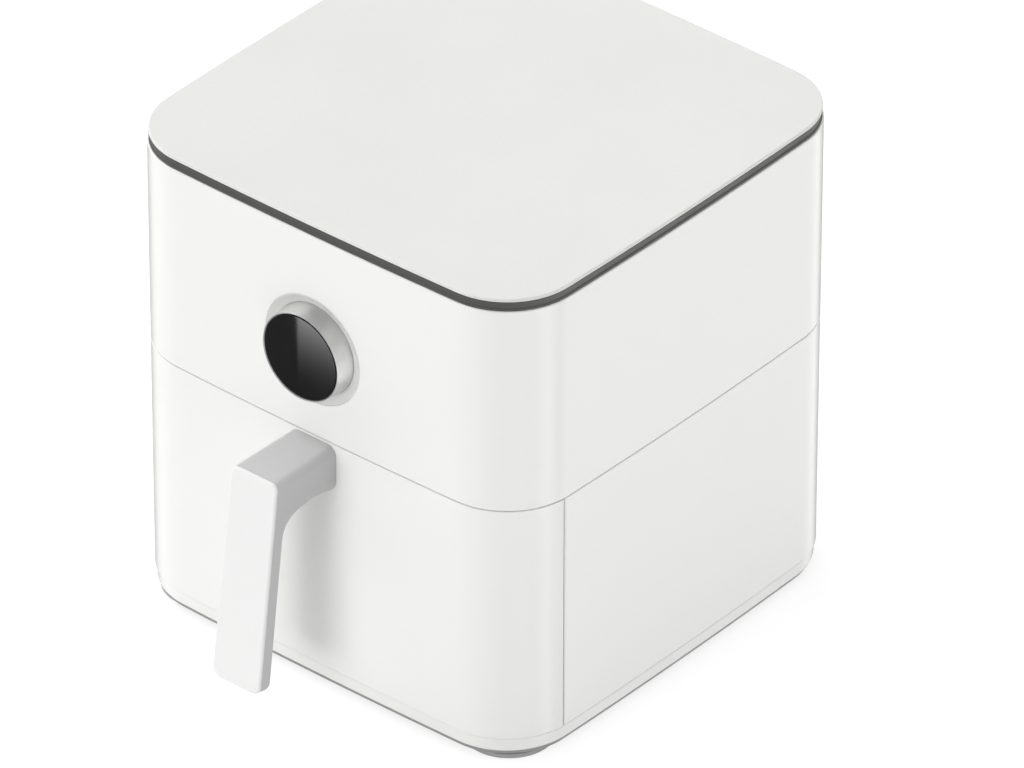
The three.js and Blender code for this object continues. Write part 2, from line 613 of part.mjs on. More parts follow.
function addHeater() {
  const stack = new THREE.Group();
  stack.position.set(0, CHAMBER_Y, zDeck);
  fryer.add(stack);
  const rise = HOUSING_HEIGHT;
  const rimRadius = HOUSING_RADIUS + HOUSING_FLANGE;
  const inside = HOUSING_RADIUS - HOUSING_SHEET;
  const shell = turned([
    [inside, 0], [rimRadius, 0], [rimRadius, HOUSING_SHEET], [HOUSING_RADIUS, HOUSING_SHEET],
    [HOUSING_RADIUS, rise], [0, rise], [0, rise - HOUSING_SHEET], [inside, rise - HOUSING_SHEET], [inside, 0],
  ], CHAMBER_SIDES);
  const through = (radius, x, y) => cylinder(radius, rise - 5, rise + 5, x, y, 12);
  const leadHoles = [70, 110].map((degrees) => {
    const angle = THREE.MathUtils.degToRad(degrees);
    return through(
      ELEMENT_TUBE_RADIUS + 2 * FIT,
      ELEMENT_LEAD_RADIUS * Math.cos(angle),
      ELEMENT_LEAD_RADIUS * Math.sin(angle),
    );
  });
  const outlet = box(
    both(DUCT.width / 2 - DUCT.wall),
    [HOUSING_RADIUS / 2, HOUSING_RADIUS + 5],
    [DUCT.lift + DUCT.wall, DUCT.lift + DUCT.height - DUCT.wall],
  );
  piece('heater_housing', cut(
    shell, outlet, ...leadHoles,
    through(SHAFT_RADIUS + 2, 0, 0),
    through(SENSOR.radius + FIT, SENSOR.x, SENSOR.y),
  ), 'sheetSteel', stack);

  const guardRadius = inside - FIT;
  const halfBar = GUARD_BAR / 2;
  const bars = [0, 1, 2].map((i) => box(both(OPENING_RADIUS), both(halfBar), [0, GUARD_THICKNESS])
    .rotateZ((Math.PI * i) / 3 + Math.PI / 12));
  const rings = GUARD_RING_RADII.map((radius) => (
    ring(radius + halfBar, radius - halfBar, 0, GUARD_THICKNESS)
  ));
  piece('heater_guard', join(
    ring(guardRadius, OPENING_RADIUS - GUARD_BAR, 0, GUARD_THICKNESS, CHAMBER_SIDES), ...rings, ...bars,
  ), 'sheetSteel', stack);

  const path = new THREE.CatmullRomCurve3(elementPath(), false, 'centripetal');
  const section = new THREE.Shape(arc(0, 0, ELEMENT_TUBE_RADIUS, 0, 2 * Math.PI, 6).slice(0, -1));
  const coil = new THREE.ExtrudeGeometry(section, { steps: 64, extrudePath: path });
  piece('heating_element', coil, 'sheetSteel', stack);

  const fanLow = rise - HOUSING_SHEET - HOT_FAN_TOP_GAP - HOT_FAN_HEIGHT;
  const coolingLow = rise + COOLING_FAN_LIFT;
  piece('hot_fan', fan(HOT_FAN_RADIUS, fanLow, HOT_FAN_HEIGHT, 10, 0), 'sheetSteel', stack);
  piece('cooling_fan', fan(COOLING_FAN_RADIUS, coolingLow, COOLING_FAN_HEIGHT, 8, 0), 'darkPlastic', stack);
  const nutBore = cylinder(SHAFT_RADIUS + FIT, fanLow - NUT_HEIGHT - 1, fanLow, 0, 0, 16);
  piece('fan_nut', cut(
    cylinder(NUT_RADIUS, fanLow - FIT - NUT_HEIGHT, fanLow - FIT, 0, 0, 6), nutBore,
  ), 'sheetSteel', stack);

  const plateLow = rise + STANDOFF_HEIGHT;
  const plateHigh = plateLow + BRACKET_PLATE;
  const shaftTop = plateHigh + MOTOR_HEIGHT - MOTOR_CAP;
  const shaftLow = fanLow - NUT_HEIGHT - 2;
  piece('motor_shaft', cylinder(SHAFT_RADIUS, shaftLow, shaftTop, 0, 0, 16), 'sheetSteel', stack);

  const legs = [0, 1, 2].map((i) => cylinder(STANDOFF_RADIUS, rise, plateLow + 1, STANDOFF_CIRCLE, 0, 12)
    .rotateZ((2 * Math.PI * i) / 3 + Math.PI / 6));
  piece('motor_bracket', cut(
    join(cylinder(STANDOFF_CIRCLE + STANDOFF_RADIUS, plateLow, plateHigh, 0, 0, 28), ...legs),
    cylinder(SHAFT_RADIUS + 3, plateLow - 1, plateHigh + 1, 0, 0, 16),
  ), 'sheetSteel', stack);

  const motor = join(
    cylinder(MOTOR_RADIUS, plateHigh, plateHigh + MOTOR_HEIGHT, 0, 0, 28),
    cylinder(MOTOR_RADIUS / 3, plateHigh, plateHigh + MOTOR_HEIGHT + MOTOR_CAP, 0, 0, 24),
  );
  piece('fan_motor', cut(
    motor, cylinder(SHAFT_RADIUS + SLIDE_GAP, plateHigh - 1, shaftTop + SLIDE_GAP, 0, 0, 16),
  ), 'sheetSteel', stack);

  const shroudInside = COOLING_FAN_RADIUS + SHROUD_GAP;
  const outletHalf = COOLING_FAN_RADIUS / 2;
  piece('cooling_shroud', cut(
    ring(shroudInside + SHROUD_WALL, shroudInside, rise, plateLow - FIT),
    box(both(outletHalf), [0, HOUSING_RADIUS], [rise + 3, plateLow - 3]),
  ), 'darkPlastic', stack);

  const cutout = cylinder(CUTOUT.radius, rise, rise + CUTOUT.height, CUTOUT.x, CUTOUT.y);
  piece('thermal_cutout', cutout, 'darkPlastic', stack);
  piece('temperature_sensor', join(
    cylinder(SENSOR.radius, rise - SENSOR.depth, rise + 1, SENSOR.x, SENSOR.y, 12),
    cylinder(SENSOR.headRadius, rise, rise + SENSOR.headHeight, SENSOR.x, SENSOR.y, 6),
  ), 'sheetSteel', stack);
}

// ---------------------------------------------------------------- boards and drawer switch
function addElectrics() {
  const half = POWER_BOARD.thickness / 2;
  piece('power_board', box(
    [POWER_BOARD.x - half, POWER_BOARD.x + half],
    both(POWER_BOARD.length / 2),
    [zDeck + FIT, zDeck + FIT + POWER_BOARD.height],
  ), 'board');

  const low = zCeiling - SWITCH.height;
  const right = SWITCH.x + SWITCH.width;
  const middle = SWITCH.x + SWITCH.width / 2;
  const height = low + SWITCH.height / 2;
  const front = yMouth + 1;
  const pin = SWITCH.plunger / 2;
  const pocket = pin + SLIDE_GAP;
  const pinEnd = front + SWITCH.depth / 2;
  const around = (centre, half) => [centre - half, centre + half];
  piece('drawer_switch', cut(
    box([SWITCH.x, right], [front, front + SWITCH.depth], [low, zCeiling]),
    box(around(middle, pocket), [front - 1, pinEnd + SLIDE_GAP], around(height, pocket)),
  ), 'darkPlastic');
  piece('switch_plunger', box(
    around(middle, pin), [yInner + SLIDE_GAP, pinEnd], around(height, pin),
  ), 'whiteMatte');
}

// ---------------------------------------------------------------- drawer
function addDrawer() {
  const frontLow = zSkirt + SEAM_GAP;
  const frontHigh = zSeam - SEAM_GAP / 2;
  const zScrew = frontHigh - HANDLE_BELOW_SEAM - ARM_HEIGHT / 2;
  const screwX = [-HANDLE_SCREW_SPACING / 2, HANDLE_SCREW_SPACING / 2];
  const holeTip = -HALF - HANDLE_SCREW_BITE - FIT - SCREW_GAP;
  const screwHoles = screwX.map((x) => cylinderAlongY(
    SCREW_RADIUS + SCREW_GAP, holeTip, -HALF + INNER_DEPTH * 2, x, zScrew, 12,
  ));
  const panel = common(
    prism(plan(0), frontLow, frontHigh, plan(SHELL_WALL)),
    box(both(BODY_WIDTH), [-BODY_WIDTH, ySideSeam - SEAM_GAP / 2], [0, zLid]),
  );
  piece('drawer_front', cut(panel, ...screwHoles), 'whiteGloss');

  const behind = plan(SHELL_WALL + FIT);
  const innerLow = frontLow + INNER_MARGIN;
  const innerHigh = frontHigh - INNER_MARGIN;
  const pocketHalf = frameHalf - INNER_END;
  const cup = cut(
    common(prism(behind, innerLow, innerHigh), box(both(HALF), [-HALF, yInner], [0, zLid])),
    box(both(pocketHalf), [-HALF, yInner - INNER_WALL], [innerLow + INNER_WALL, innerHigh - INNER_WALL]),
  );
  const bossTip = -HALF + SHELL_WALL + FIT * 2;
  const bosses = screwX.map((x) => cylinderAlongY(BOSS_RADIUS, bossTip, yInner - 1, x, zScrew, 16));
  const seats = screwX.map((x) => cylinderAlongY(
    SCREW_HEAD_RADIUS + SCREW_GAP, yInner - SCREW_HEAD_HEIGHT, yInner + 1, x, zScrew, 16,
  ));
  piece('drawer_inner_panel', cut(join(cup, ...bosses), ...screwHoles, ...seats), 'darkPlastic');

  screwX.forEach((x, i) => {
    const headRear = yInner - FIT;
    const headFront = yInner - SCREW_HEAD_HEIGHT;
    piece(`handle_screw_${i ? 'right' : 'left'}`, join(
      cylinderAlongY(SCREW_HEAD_RADIUS, headFront, headRear, x, zScrew, 16),
      cylinderAlongY(SCREW_RADIUS, -HALF - HANDLE_SCREW_BITE, headRear, x, zScrew, 12),
    ), 'sheetSteel');
  });

  const panOutline = (inset) => roundedRectangle(
    2 * (panHalf - inset), 2 * (panHalf - inset), PAN_CORNER_RADIUS - inset, 6,
  );
  const pan = cut(
    join(prism(panOutline(0), zPan, zRim), prism(panOutline(-PAN_RIM), zRim - PAN_RIM_THICKNESS, zRim)),
    prism(panOutline(PAN_WALL), zPanFloor, zRim + 1),
  ).translate([0, CHAMBER_Y, 0]);
  piece('drawer_pan', pan, 'nonStick');

  const bracketTop = zRim - PAN_RIM_THICKNESS - BRACKET_DROP;
  const bracketFront = yInner + FIT;
  const bracketRear = panFront - FIT;
  const bracket = cut(
    box(both(BRACKET_WIDTH / 2), [bracketFront, bracketRear], [bracketTop - BRACKET_HEIGHT, bracketTop]),
    box(
      both(BRACKET_WIDTH),
      [bracketFront + BRACKET_SHEET, bracketRear - BRACKET_SHEET],
      [0, bracketTop - BRACKET_SHEET],
    ),
  );
  piece('pan_bracket', bracket, 'sheetSteel');
  addHandle(frontHigh, screwHoles);
}

function addHandle(frontHigh, screwHoles) {
  const top = frontHigh - HANDLE_BELOW_SEAM;
  const root = -HALF - FIT;
  const under = top - ARM_HEIGHT;
  const leanAngle = Math.atan2(GRIP_LEAN, GRIP_HEIGHT);
  const frontTop = point(-HALF - ARM_REACH, top);
  const down = point(-Math.sin(leanAngle), -Math.cos(leanAngle));
  const inward = point(Math.cos(leanAngle), -Math.sin(leanAngle));
  const gripLength = GRIP_HEIGHT / Math.cos(leanAngle);
  const along = (length, depth) => frontTop.clone()
    .addScaledVector(down, length).addScaledVector(inward, depth);
  const tipFront = along(gripLength, 0);
  const tipBack = along(gripLength, GRIP_THICKNESS);
  const backTop = along(0, GRIP_THICKNESS);
  const elbow = along((backTop.y - under) / Math.cos(leanAngle), GRIP_THICKNESS);
  const round = HANDLE_EDGE_ROUND;
  const outline = filletedOutline([
    [root, top, 0],
    [frontTop.x, frontTop.y, round * 1.5],
    [tipFront.x, tipFront.y, GRIP_TIP_ROUND],
    [tipBack.x, tipBack.y, GRIP_TIP_ROUND],
    [elbow.x, elbow.y, GRIP_FILLET],
    [root, under, 0],
  ]);
  const shape = new THREE.Shape(outline);
  const bar = new THREE.ExtrudeGeometry(shape, {
    depth: HANDLE_WIDTH - 2 * round,
    bevelThickness: round,
    bevelSize: round,
    bevelOffset: -round,
    bevelSegments: 2,
  }).translate(0, 0, -HANDLE_WIDTH / 2 + round).applyMatrix4(alongX);
  const beyond = 2 * round;
  const layer = (from, to, start, end, half) => prismAlongX(
    [along(start, from), along(end, from), along(end, to), along(start, to)], -half, half,
  );
  const frontLayer = (depth) => layer(-beyond, depth, -beyond, gripLength + beyond, HANDLE_WIDTH);
  const pegs = (gap) => COVER_PEG_PLACES.map((place) => layer(
    COVER_THICKNESS - round / 2,
    COVER_THICKNESS + COVER_PEG_DEPTH + gap,
    place - COVER_PEG_WIDTH / 2 - gap,
    place + COVER_PEG_WIDTH / 2 + gap,
    COVER_PEG_WIDTH / 2 + gap,
  ));
  piece('handle', cut(bar, frontLayer(COVER_THICKNESS + FIT), ...pegs(FIT), ...screwHoles), 'handleGrey');
  piece('handle_front_cover', join(common(bar, frontLayer(COVER_THICKNESS)), ...pegs(0)), 'handleWhite');
}

// ---------------------------------------------------------------- grill plate in the pan
function addGrillPlate() {
  const half = panHalf - PAN_WALL - PLATE_EDGE_GAP;
  const radius = PAN_CORNER_RADIUS - PAN_WALL - PLATE_EDGE_GAP;
  const high = zGrill + PLATE_THICKNESS;
  const count = Math.floor((half - PLATE_HOLE_PITCH / 2) / PLATE_HOLE_PITCH);
  const holes = [];
  for (let row = -count; row <= count; row += 1) {
    for (let column = -count; column <= count; column += 1) {
      const x = column * PLATE_HOLE_PITCH;
      const y = CHAMBER_Y + row * PLATE_HOLE_PITCH;
      holes.push(cylinder(PLATE_HOLE_RADIUS, zGrill - 1, high + 1, x, y, 6));
    }
  }
  const sheet = prism(roundedRectangle(2 * half, 2 * half, radius, 6), zGrill, high)
    .translate(0, CHAMBER_Y, 0);
  piece('grill_plate', cut(sheet, ...holes), 'nonStick');

  ['right', 'rear', 'left', 'front'].forEach((name, quarter) => {
    const wall = panHalf - PAN_WALL - FIT;
    const block = cut(
      box([wall - BUMPER_DEPTH, wall], both(BUMPER_LENGTH / 2), [zPanFloor + FIT, high + BUMPER_ABOVE_PLATE]),
      box([0, half + FIT], both(BUMPER_LENGTH), [zGrill - FIT, high + FIT]),
    );
    const bumper = new THREE.Group();
    bumper.position.set(0, CHAMBER_Y, 0);
    bumper.rotation.z = (quarter * Math.PI) / 2;
    fryer.add(bumper);
    piece(`plate_bumper_${name}`, block, 'silicone', bumper);
  });
}

// ---------------------------------------------------------------- dial
function addDial() {
  const dial = new THREE.Group();
  dial.position.set(0, -HALF, zDial);
  dial.rotation.x = Math.PI / 2; // local z points out of the front
  fryer.add(dial);
  const well = BEZEL_RADIUS - BEZEL_LIP;
  const wall = SHELL_WALL + FIT + HALF - crownHeight(BEZEL_RADIUS + BEZEL_FLANGE);
  const back = -BEZEL_DEPTH;
  const floor = back + BEZEL_WALL;
  const bushHole = ENCODER_BUSH_RADIUS + FIT;
  const ringBase = well - RING_GAP;
  const ringFront = ringBase - RING_FLARE;
  const glassRadius = ringFront - RING_RIM;
  piece('dial_bezel', turned([
    [well, -BEZEL_DISH], [BEZEL_RADIUS - 0.5, 0], [BEZEL_RADIUS, -0.4], [BEZEL_RADIUS, -wall],
    [BEZEL_RADIUS + BEZEL_FLANGE, -wall], [BEZEL_RADIUS + BEZEL_FLANGE, -wall - BEZEL_WALL],
    [well + BEZEL_WALL, -wall - BEZEL_WALL], [well + BEZEL_WALL, back], [bushHole, back], [bushHole, floor],
    [well, floor], [well, -BEZEL_DISH],
  ]), 'bezelGrey', dial);

  const front = DIAL_PROUD;
  const glassBack = front - GLASS_THICKNESS;
  const ledge = glassBack - FIT;
  const bore = glassRadius - RING_STEP;
  const skirt = -RING_SKIRT_DEPTH;
  const recess = glassRadius + FIT;
  const crest = 0.5;
  piece('dial_ring', turned([
    [recess, ledge], [recess, front], [ringFront - crest / 2, front + 0.1], [ringFront, front - crest],
    [(ringFront * 2 + ringBase) / 3, front * 0.62], [(ringFront + ringBase * 2) / 3, front * 0.28],
    [ringBase, -0.2], [ringBase, skirt], [bore, skirt], [bore, ledge], [recess, ledge],
  ]), 'brushedSteel', dial);

  piece('display_glass', turned([
    [0, glassBack], [glassRadius, glassBack], [glassRadius, front - crest], [glassRadius - crest, front],
    [0, front],
  ]), 'blackGlass', dial);

  const drum = bore - SLIDE_GAP;
  const flangeTop = skirt - SLIDE_GAP;
  const flangeLow = flangeTop - CARRIER_FLANGE;
  const hubLow = flangeLow - HUB_LENGTH;
  const shaftTop = flangeLow;
  const socket = ENCODER_SHAFT_RADIUS + FIT;
  const socketTop = shaftTop + PRESS_TRAVEL + FIT;
  piece('display_carrier', turned([
    [0, socketTop], [socket, socketTop], [socket, hubLow], [HUB_RADIUS, hubLow], [HUB_RADIUS, flangeLow],
    [ringBase - 2, flangeLow], [ringBase - 2, flangeTop], [drum, flangeTop],
    [drum, glassBack - FIT], [0, glassBack - FIT],
  ]), 'darkPlastic', dial);

  const bodyTop = back - FIT;
  const bodyLow = bodyTop - ENCODER_DEPTH;
  piece('dial_encoder', join(
    box(both(ENCODER_SIZE / 2), both(ENCODER_SIZE / 2), [bodyLow, bodyTop]),
    cylinder(ENCODER_BUSH_RADIUS, bodyLow + 1, floor + 1, 0, 0, 16),
    cylinder(ENCODER_SHAFT_RADIUS, bodyLow + 1, shaftTop, 0, 0, 16),
  ), 'sheetSteel', dial);

  const boardTop = bodyLow - FIT;
  const boardOutline = roundedRectangle(CONTROL_BOARD.width, CONTROL_BOARD.height, 4, 3);
  piece('control_board', prism(boardOutline, boardTop - CONTROL_BOARD.thickness, boardTop), 'board', dial);
}

// ---------------------------------------------------------------- assembly
addBase();
addInnerFrame();
addShells();
addRear();
addHeater();
addElectrics();
addDrawer();
addGrillPlate();
addDial();

fryer.updateMatrixWorld(true);
const extent = new THREE.Box3().setFromObject(fryer, true);
fryer.position.y = -(extent.min.y + extent.max.y) / 2;

const airFryer = new THREE.Group();
airFryer.add(fryer);

export default airFryer;
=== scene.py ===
"""The looks of a drawer-type air fryer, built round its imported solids.

Metres, +Z up, the drawer's front towards -Y. Sizes are dataclass fields and places come from the solids.
"""

import json
import logging
import math
from dataclasses import dataclass
from enum import Enum
from typing import Any, Iterable, Sequence

import bmesh
import bpy
from bmesh.types import BMesh
from bpy.types import Material, Node, NodeSocket, NodeTree, Object
from mathutils import Euler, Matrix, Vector


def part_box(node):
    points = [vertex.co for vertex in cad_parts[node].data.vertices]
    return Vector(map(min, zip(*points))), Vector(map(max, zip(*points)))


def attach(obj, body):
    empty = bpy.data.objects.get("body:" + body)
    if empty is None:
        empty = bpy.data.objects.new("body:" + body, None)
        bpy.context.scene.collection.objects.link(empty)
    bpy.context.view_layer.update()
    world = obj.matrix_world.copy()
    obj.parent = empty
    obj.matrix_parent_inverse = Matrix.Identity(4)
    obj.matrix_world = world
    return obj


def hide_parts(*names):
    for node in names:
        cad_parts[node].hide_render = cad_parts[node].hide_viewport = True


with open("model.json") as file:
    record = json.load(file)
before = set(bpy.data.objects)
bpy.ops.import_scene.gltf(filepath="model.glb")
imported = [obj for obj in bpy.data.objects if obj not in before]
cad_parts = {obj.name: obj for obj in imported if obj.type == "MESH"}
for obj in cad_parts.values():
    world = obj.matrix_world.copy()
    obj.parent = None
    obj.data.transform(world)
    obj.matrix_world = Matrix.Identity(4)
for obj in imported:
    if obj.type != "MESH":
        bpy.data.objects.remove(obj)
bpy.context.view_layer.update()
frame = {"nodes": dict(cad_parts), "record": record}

LOG = logging.getLogger("air_fryer")
Point = tuple[float, float]
Triple = tuple[float, float, float]
QUARTER = math.pi / 2
TURN = 2 * math.pi
SMOOTH_ANGLE = math.radians(34)
SAME_PLACE = 0.000001
CORNERS = ("front_left", "front_right", "rear_left", "rear_right")


# ---------------------------------------------------------------- node trees
class Graph:
    """A node tree under construction."""

    def __init__(self, tree: NodeTree) -> None:
        """Takes the tree to add to."""
        self.tree = tree

    def feed(self, socket: NodeSocket, value: Any) -> None:
        """Links or sets one input.

        Args:
            socket: The input.
            value: A node, whose first output is taken, an output socket, or a plain value.
        """
        if isinstance(value, Node):
            value = value.outputs[0]
        if isinstance(value, NodeSocket):
            self.tree.links.new(value, socket)
        else:
            socket.default_value = value

    def add(self, kind: str, inputs: dict[str | int, Any] | None = None, **settings: Any) -> Node:
        """Adds a node.

        Args:
            kind: The node's type name.
            inputs: What goes into its inputs, by name or number.
            **settings: Attributes to set on the node first.

        Returns:
            The node.
        """
        node = self.tree.nodes.new(kind)
        for name, value in settings.items():
            setattr(node, name, value)
        for key, value in (inputs or {}).items():
            self.feed(node.inputs[key], value)
        return node

    def math(self, operation: str, *values: Any, clamp: bool = False) -> Node:
        """Adds a Math node on one to three values."""
        return self.add("ShaderNodeMath", dict(enumerate(values)), operation=operation, use_clamp=clamp)

    def times(self, one: Any, two: Any) -> Node:
        """The product of two values."""
        return self.math("MULTIPLY", one, two)

    def plus(self, one: Any, two: Any) -> Node:
        """The sum of two values."""
        return self.math("ADD", one, two)

    def vector(self, x: Any = 0.0, y: Any = 0.0, z: Any = 0.0) -> Node:
        """A vector of three values."""
        return self.add("ShaderNodeCombineXYZ", {0: x, 1: y, 2: z})

    def parts(self, vector: Any) -> Sequence[NodeSocket]:
        """A vector's three values."""
        return self.add("ShaderNodeSeparateXYZ", {0: vector}).outputs


class Surface(Graph):
    """A material's tree, with one Principled shader in it."""

    def __init__(self, name: str) -> None:
        """Makes an empty material of that name.

        Args:
            name: The material's name.
        """
        self.material = bpy.data.materials.new(name)
        self.material.use_nodes = True
        super().__init__(self.material.node_tree)
        self.tree.nodes.clear()
        self.shader = self.add("ShaderNodeBsdfPrincipled")
        self.output = self.add("ShaderNodeOutputMaterial", {"Surface": self.shader})
        self.place = self.add("ShaderNodeTexCoord").outputs["Object"]

    def about(self, centre: Triple, scale: Triple = (1, 1, 1)) -> Node:
        """Object coordinates measured from a centre, in metres, and stretched along each axis."""
        moved = self.add("ShaderNodeVectorMath", {0: self.place, 1: centre}, operation="SUBTRACT")
        return self.add("ShaderNodeVectorMath", {0: moved, 1: scale}, operation="MULTIPLY")

    def noise(self, size: float, detail: float = 2.0, rough: float = 0.5, place: Any = None) -> Node:
        """A noise pattern.

        Args:
            size: The size of its largest patches, in metres.
            detail: How many finer layers it has.
            rough: How strong the finer layers are.
            place: The coordinates, or None for the object's own.

        Returns:
            Its value, about 0.3 to 0.7.
        """
        inputs = {"Vector": place or self.place, "Scale": 1 / size, "Detail": detail, "Roughness": rough}
        return self.add("ShaderNodeTexNoise", inputs)

    def cells(self, size: float) -> Sequence[NodeSocket]:
        """The outputs of a pattern of cells of a size in metres."""
        return self.add("ShaderNodeTexVoronoi", {"Vector": self.place, "Scale": 1 / size}).outputs

    def blend(self, factor: Any, first: Any, second: Any) -> NodeSocket:
        """A colour between two others, each given as a colour or a socket.

        Args:
            factor: Where between them, from 0 to 1.
            first: The colour at 0.
            second: The colour at 1.

        Returns:
            The blended colour.
        """
        node = self.add("ShaderNodeMix", {0: factor}, data_type="RGBA")
        inputs, outputs = ([s for s in side if s.type == "RGBA"] for side in (node.inputs, node.outputs))
        for socket, value in zip(inputs, (first, second)):
            self.feed(socket, (*value, 1.0) if isinstance(value, tuple) else value)
        return outputs[0]

    def spread(
        self, value: Any, low: float = 0.3, high: float = 0.7, to_low: float = 0.0, to_high: float = 1.0
    ) -> Node:
        """A value mapped from the range low to high to another and kept inside it."""
        inputs = {"Value": value, 1: low, 2: high, 3: to_low, 4: to_high}
        return self.add("ShaderNodeMapRange", inputs, clamp=True)

    def around(self, pattern: Any, middle: float, less: float, more: float) -> Node:
        """A value that follows a noise pattern, between two factors of its middle."""
        return self.spread(pattern, to_low=middle * less, to_high=middle * more)

    def bump(self, *layers: tuple[Any, float]) -> None:
        """Gives the shader a fine relief.

        Args:
            layers: Pairs of a pattern and its depth in metres.
        """
        inputs: dict[str | int, Any] = {"Strength": 1.0}
        for height, depth in layers:
            inputs["Normal"] = self.add("ShaderNodeBump", {**inputs, "Height": height, "Distance": depth})
        self.feed(self.shader.inputs["Normal"], inputs["Normal"])

    def set(self, **values: Any) -> None:
        """Sets or links shader inputs, with _ for each space in a name."""
        for name, value in values.items():
            self.feed(self.shader.inputs[name.replace("_", " ")], value)

    def worn_edges(self, sharpness: float = 0.06) -> Node:
        """How much of an outer edge a place is, from 0 on a flat face to 1."""
        pointed = self.add("ShaderNodeNewGeometry").outputs["Pointiness"]
        return self.spread(pointed, 0.5 + sharpness / 6, 0.5 + sharpness)


def shade(tone: Triple, factor: float) -> Triple:
    """The tone made lighter or darker by a factor."""
    return tuple(min(1.0, channel * factor) for channel in tone)


# ---------------------------------------------------------------- finishes
@dataclass(frozen=True)
class Finish:
    """A material of one piece or of many, and the record's slot that it belongs to."""

    name: str
    slot: str
    tone: Triple
    roughness: float

    def material(self) -> Material:
        """The finish as a material, made once.

        Returns:
            The material.
        """
        found = bpy.data.materials.get(self.name)
        if found:
            return found
        surface = Surface(self.name)
        self.paint(surface)
        return surface.material

    def paint(self, surface: Surface) -> None:
        """Builds the pattern, colour and relief on an empty surface."""
        raise NotImplementedError

    def varied(self, surface: Surface, factor: Any, first: float, second: float) -> NodeSocket:
        """The tone, from one factor of it to another as a pattern goes from 0 to 1."""
        return surface.blend(factor, shade(self.tone, first), shade(self.tone, second))


@dataclass(frozen=True)
class MouldedPlastic(Finish):
    """Injection-moulded plastic: grained or polished, faintly uneven in tone, lighter at worn edges."""

    grain: float
    grain_depth: float
    mottling: float
    ripple_depth: float = 0.0
    wear: float = 0.0
    speckle: float = 0.0
    lacquer: float = 0.0
    lacquer_roughness: float = 0.09
    cloud_size: float = 0.11
    handled_size: float = 0.035
    ripple_size: float = 0.03

    def paint(self, surface: Surface) -> None:
        """Adds cloudiness, grain, long ripples from the mould and pale worn edges.

        Args:
            surface: An empty surface to build on.
        """
        cloud = surface.spread(surface.noise(self.cloud_size, 3.0))
        grain = surface.noise(self.grain, rough=0.6)
        tone = self.varied(surface, cloud, 1 - self.mottling, 1 + self.mottling)
        if self.speckle:
            dots = surface.spread(grain, 0.35, 0.65, -1, 1)
            share = surface.math("MULTIPLY", dots, self.speckle, clamp=True)
            tone = surface.blend(share, tone, shade(self.tone, 0.9))
        rough = surface.around(surface.noise(self.handled_size, 4.0, 0.65), self.roughness, 0.88, 1.14)
        if self.wear:
            edge = surface.times(surface.worn_edges(), self.wear)
            tone = surface.blend(edge, tone, shade(self.tone, 1.35))
            rough = surface.math("MULTIPLY_ADD", edge, -0.1, rough)
        surface.set(Base_Color=tone, Roughness=rough)
        surface.set(Coat_Weight=self.lacquer, Coat_Roughness=self.lacquer_roughness)
        layers = [(grain, self.grain_depth)]
        if self.ripple_depth:
            layers.append((surface.noise(self.ripple_size, 1.0), self.ripple_depth))
        surface.bump(*layers)


class Brushing(Enum):
    """Which way the fine lines of a brushed metal run, and how the pattern is squeezed for it."""

    ROUND_THE_DIAL = (1, 1, 1)
    ACROSS = (0.02, 1, 1)
    UPRIGHT = (1, 1, 0.02)


@dataclass(frozen=True)
class BrushedMetal(Finish):
    """Metal with fine parallel lines."""

    brushing: Brushing = Brushing.ACROSS
    centre: Triple = (0.0, 0.0, 0.0)
    line: float = 0.00035
    depth: float = 0.000004
    stain: float = 0.03
    anisotropy: float = 0.5
    stain_size: float = 0.02
    line_run: float = 0.0004

    def lines(self, surface: Surface) -> Node:
        """The pattern of lines.

        Args:
            surface: The surface that the lines are on.

        Returns:
            Its value, about 0.3 to 0.7.
        """
        place = surface.about(self.centre, self.brushing.value)
        if self.brushing is Brushing.ROUND_THE_DIAL:
            x, y, z = surface.parts(place)
            squares = (surface.math("POWER", part, 2.0) for part in (x, z))
            radius = surface.math("SQRT", surface.math("ADD", *squares))
            angle = surface.times(surface.math("ARCTAN2", z, x), self.line_run)
            place = surface.vector(radius, y, angle)
        return surface.noise(self.line, 3.0, 0.7, place)

    def paint(self, surface: Surface) -> None:
        """Adds the lines to relief, tone and gloss, and faint stains.

        Args:
            surface: An empty surface to build on.
        """
        lines = self.lines(surface)
        stains = surface.spread(surface.noise(self.stain_size, 4.0), 0.35)
        tone = self.varied(surface, stains, 1 + self.stain, 1 - self.stain)
        tone = surface.blend(surface.spread(lines, to_high=0.35), tone, shade(self.tone, 0.82))
        rough = surface.around(lines, self.roughness, 0.8, 1.25)
        surface.set(Base_Color=tone, Roughness=rough, Metallic=1.0, Anisotropic=self.anisotropy)
        if self.brushing is Brushing.ROUND_THE_DIAL:
            tangent = surface.add("ShaderNodeTangent", direction_type="RADIAL", axis="Y")
            surface.set(Tangent=tangent, Anisotropic_Rotation=0.25)
        surface.bump((lines, self.depth))


@dataclass(frozen=True)
class HotSteel(Finish):
    """Plated or bare steel near the heater, with grain cells and straw-coloured heat stains."""

    cell: float = 0.006
    heat: float = 0.3
    heat_size: float = 0.03
    grain: float = 0.0006
    grain_depth: float = 0.000006

    def paint(self, surface: Surface) -> None:
        """Adds the cells of the plating and the heat stains.

        Args:
            surface: An empty surface to build on.
        """
        colour = surface.cells(self.cell)["Color"]
        grey = surface.add("ShaderNodeSeparateColor", {0: colour})
        heated = surface.spread(surface.noise(self.heat_size, 5.0, 0.6), 0.42, 0.68, 0.0, self.heat)
        straw = tuple(channel * factor for channel, factor in zip(self.tone, (0.75, 0.58, 0.38)))
        tone = surface.blend(heated, self.varied(surface, grey, 0.86, 1.1), straw)
        rough = surface.spread(grey, 0, 1, self.roughness * 0.85, self.roughness * 1.15)
        rough = surface.plus(rough, surface.times(heated, 0.3))
        surface.set(Base_Color=tone, Roughness=rough, Metallic=1.0)
        surface.bump((surface.noise(self.grain), self.grain_depth))


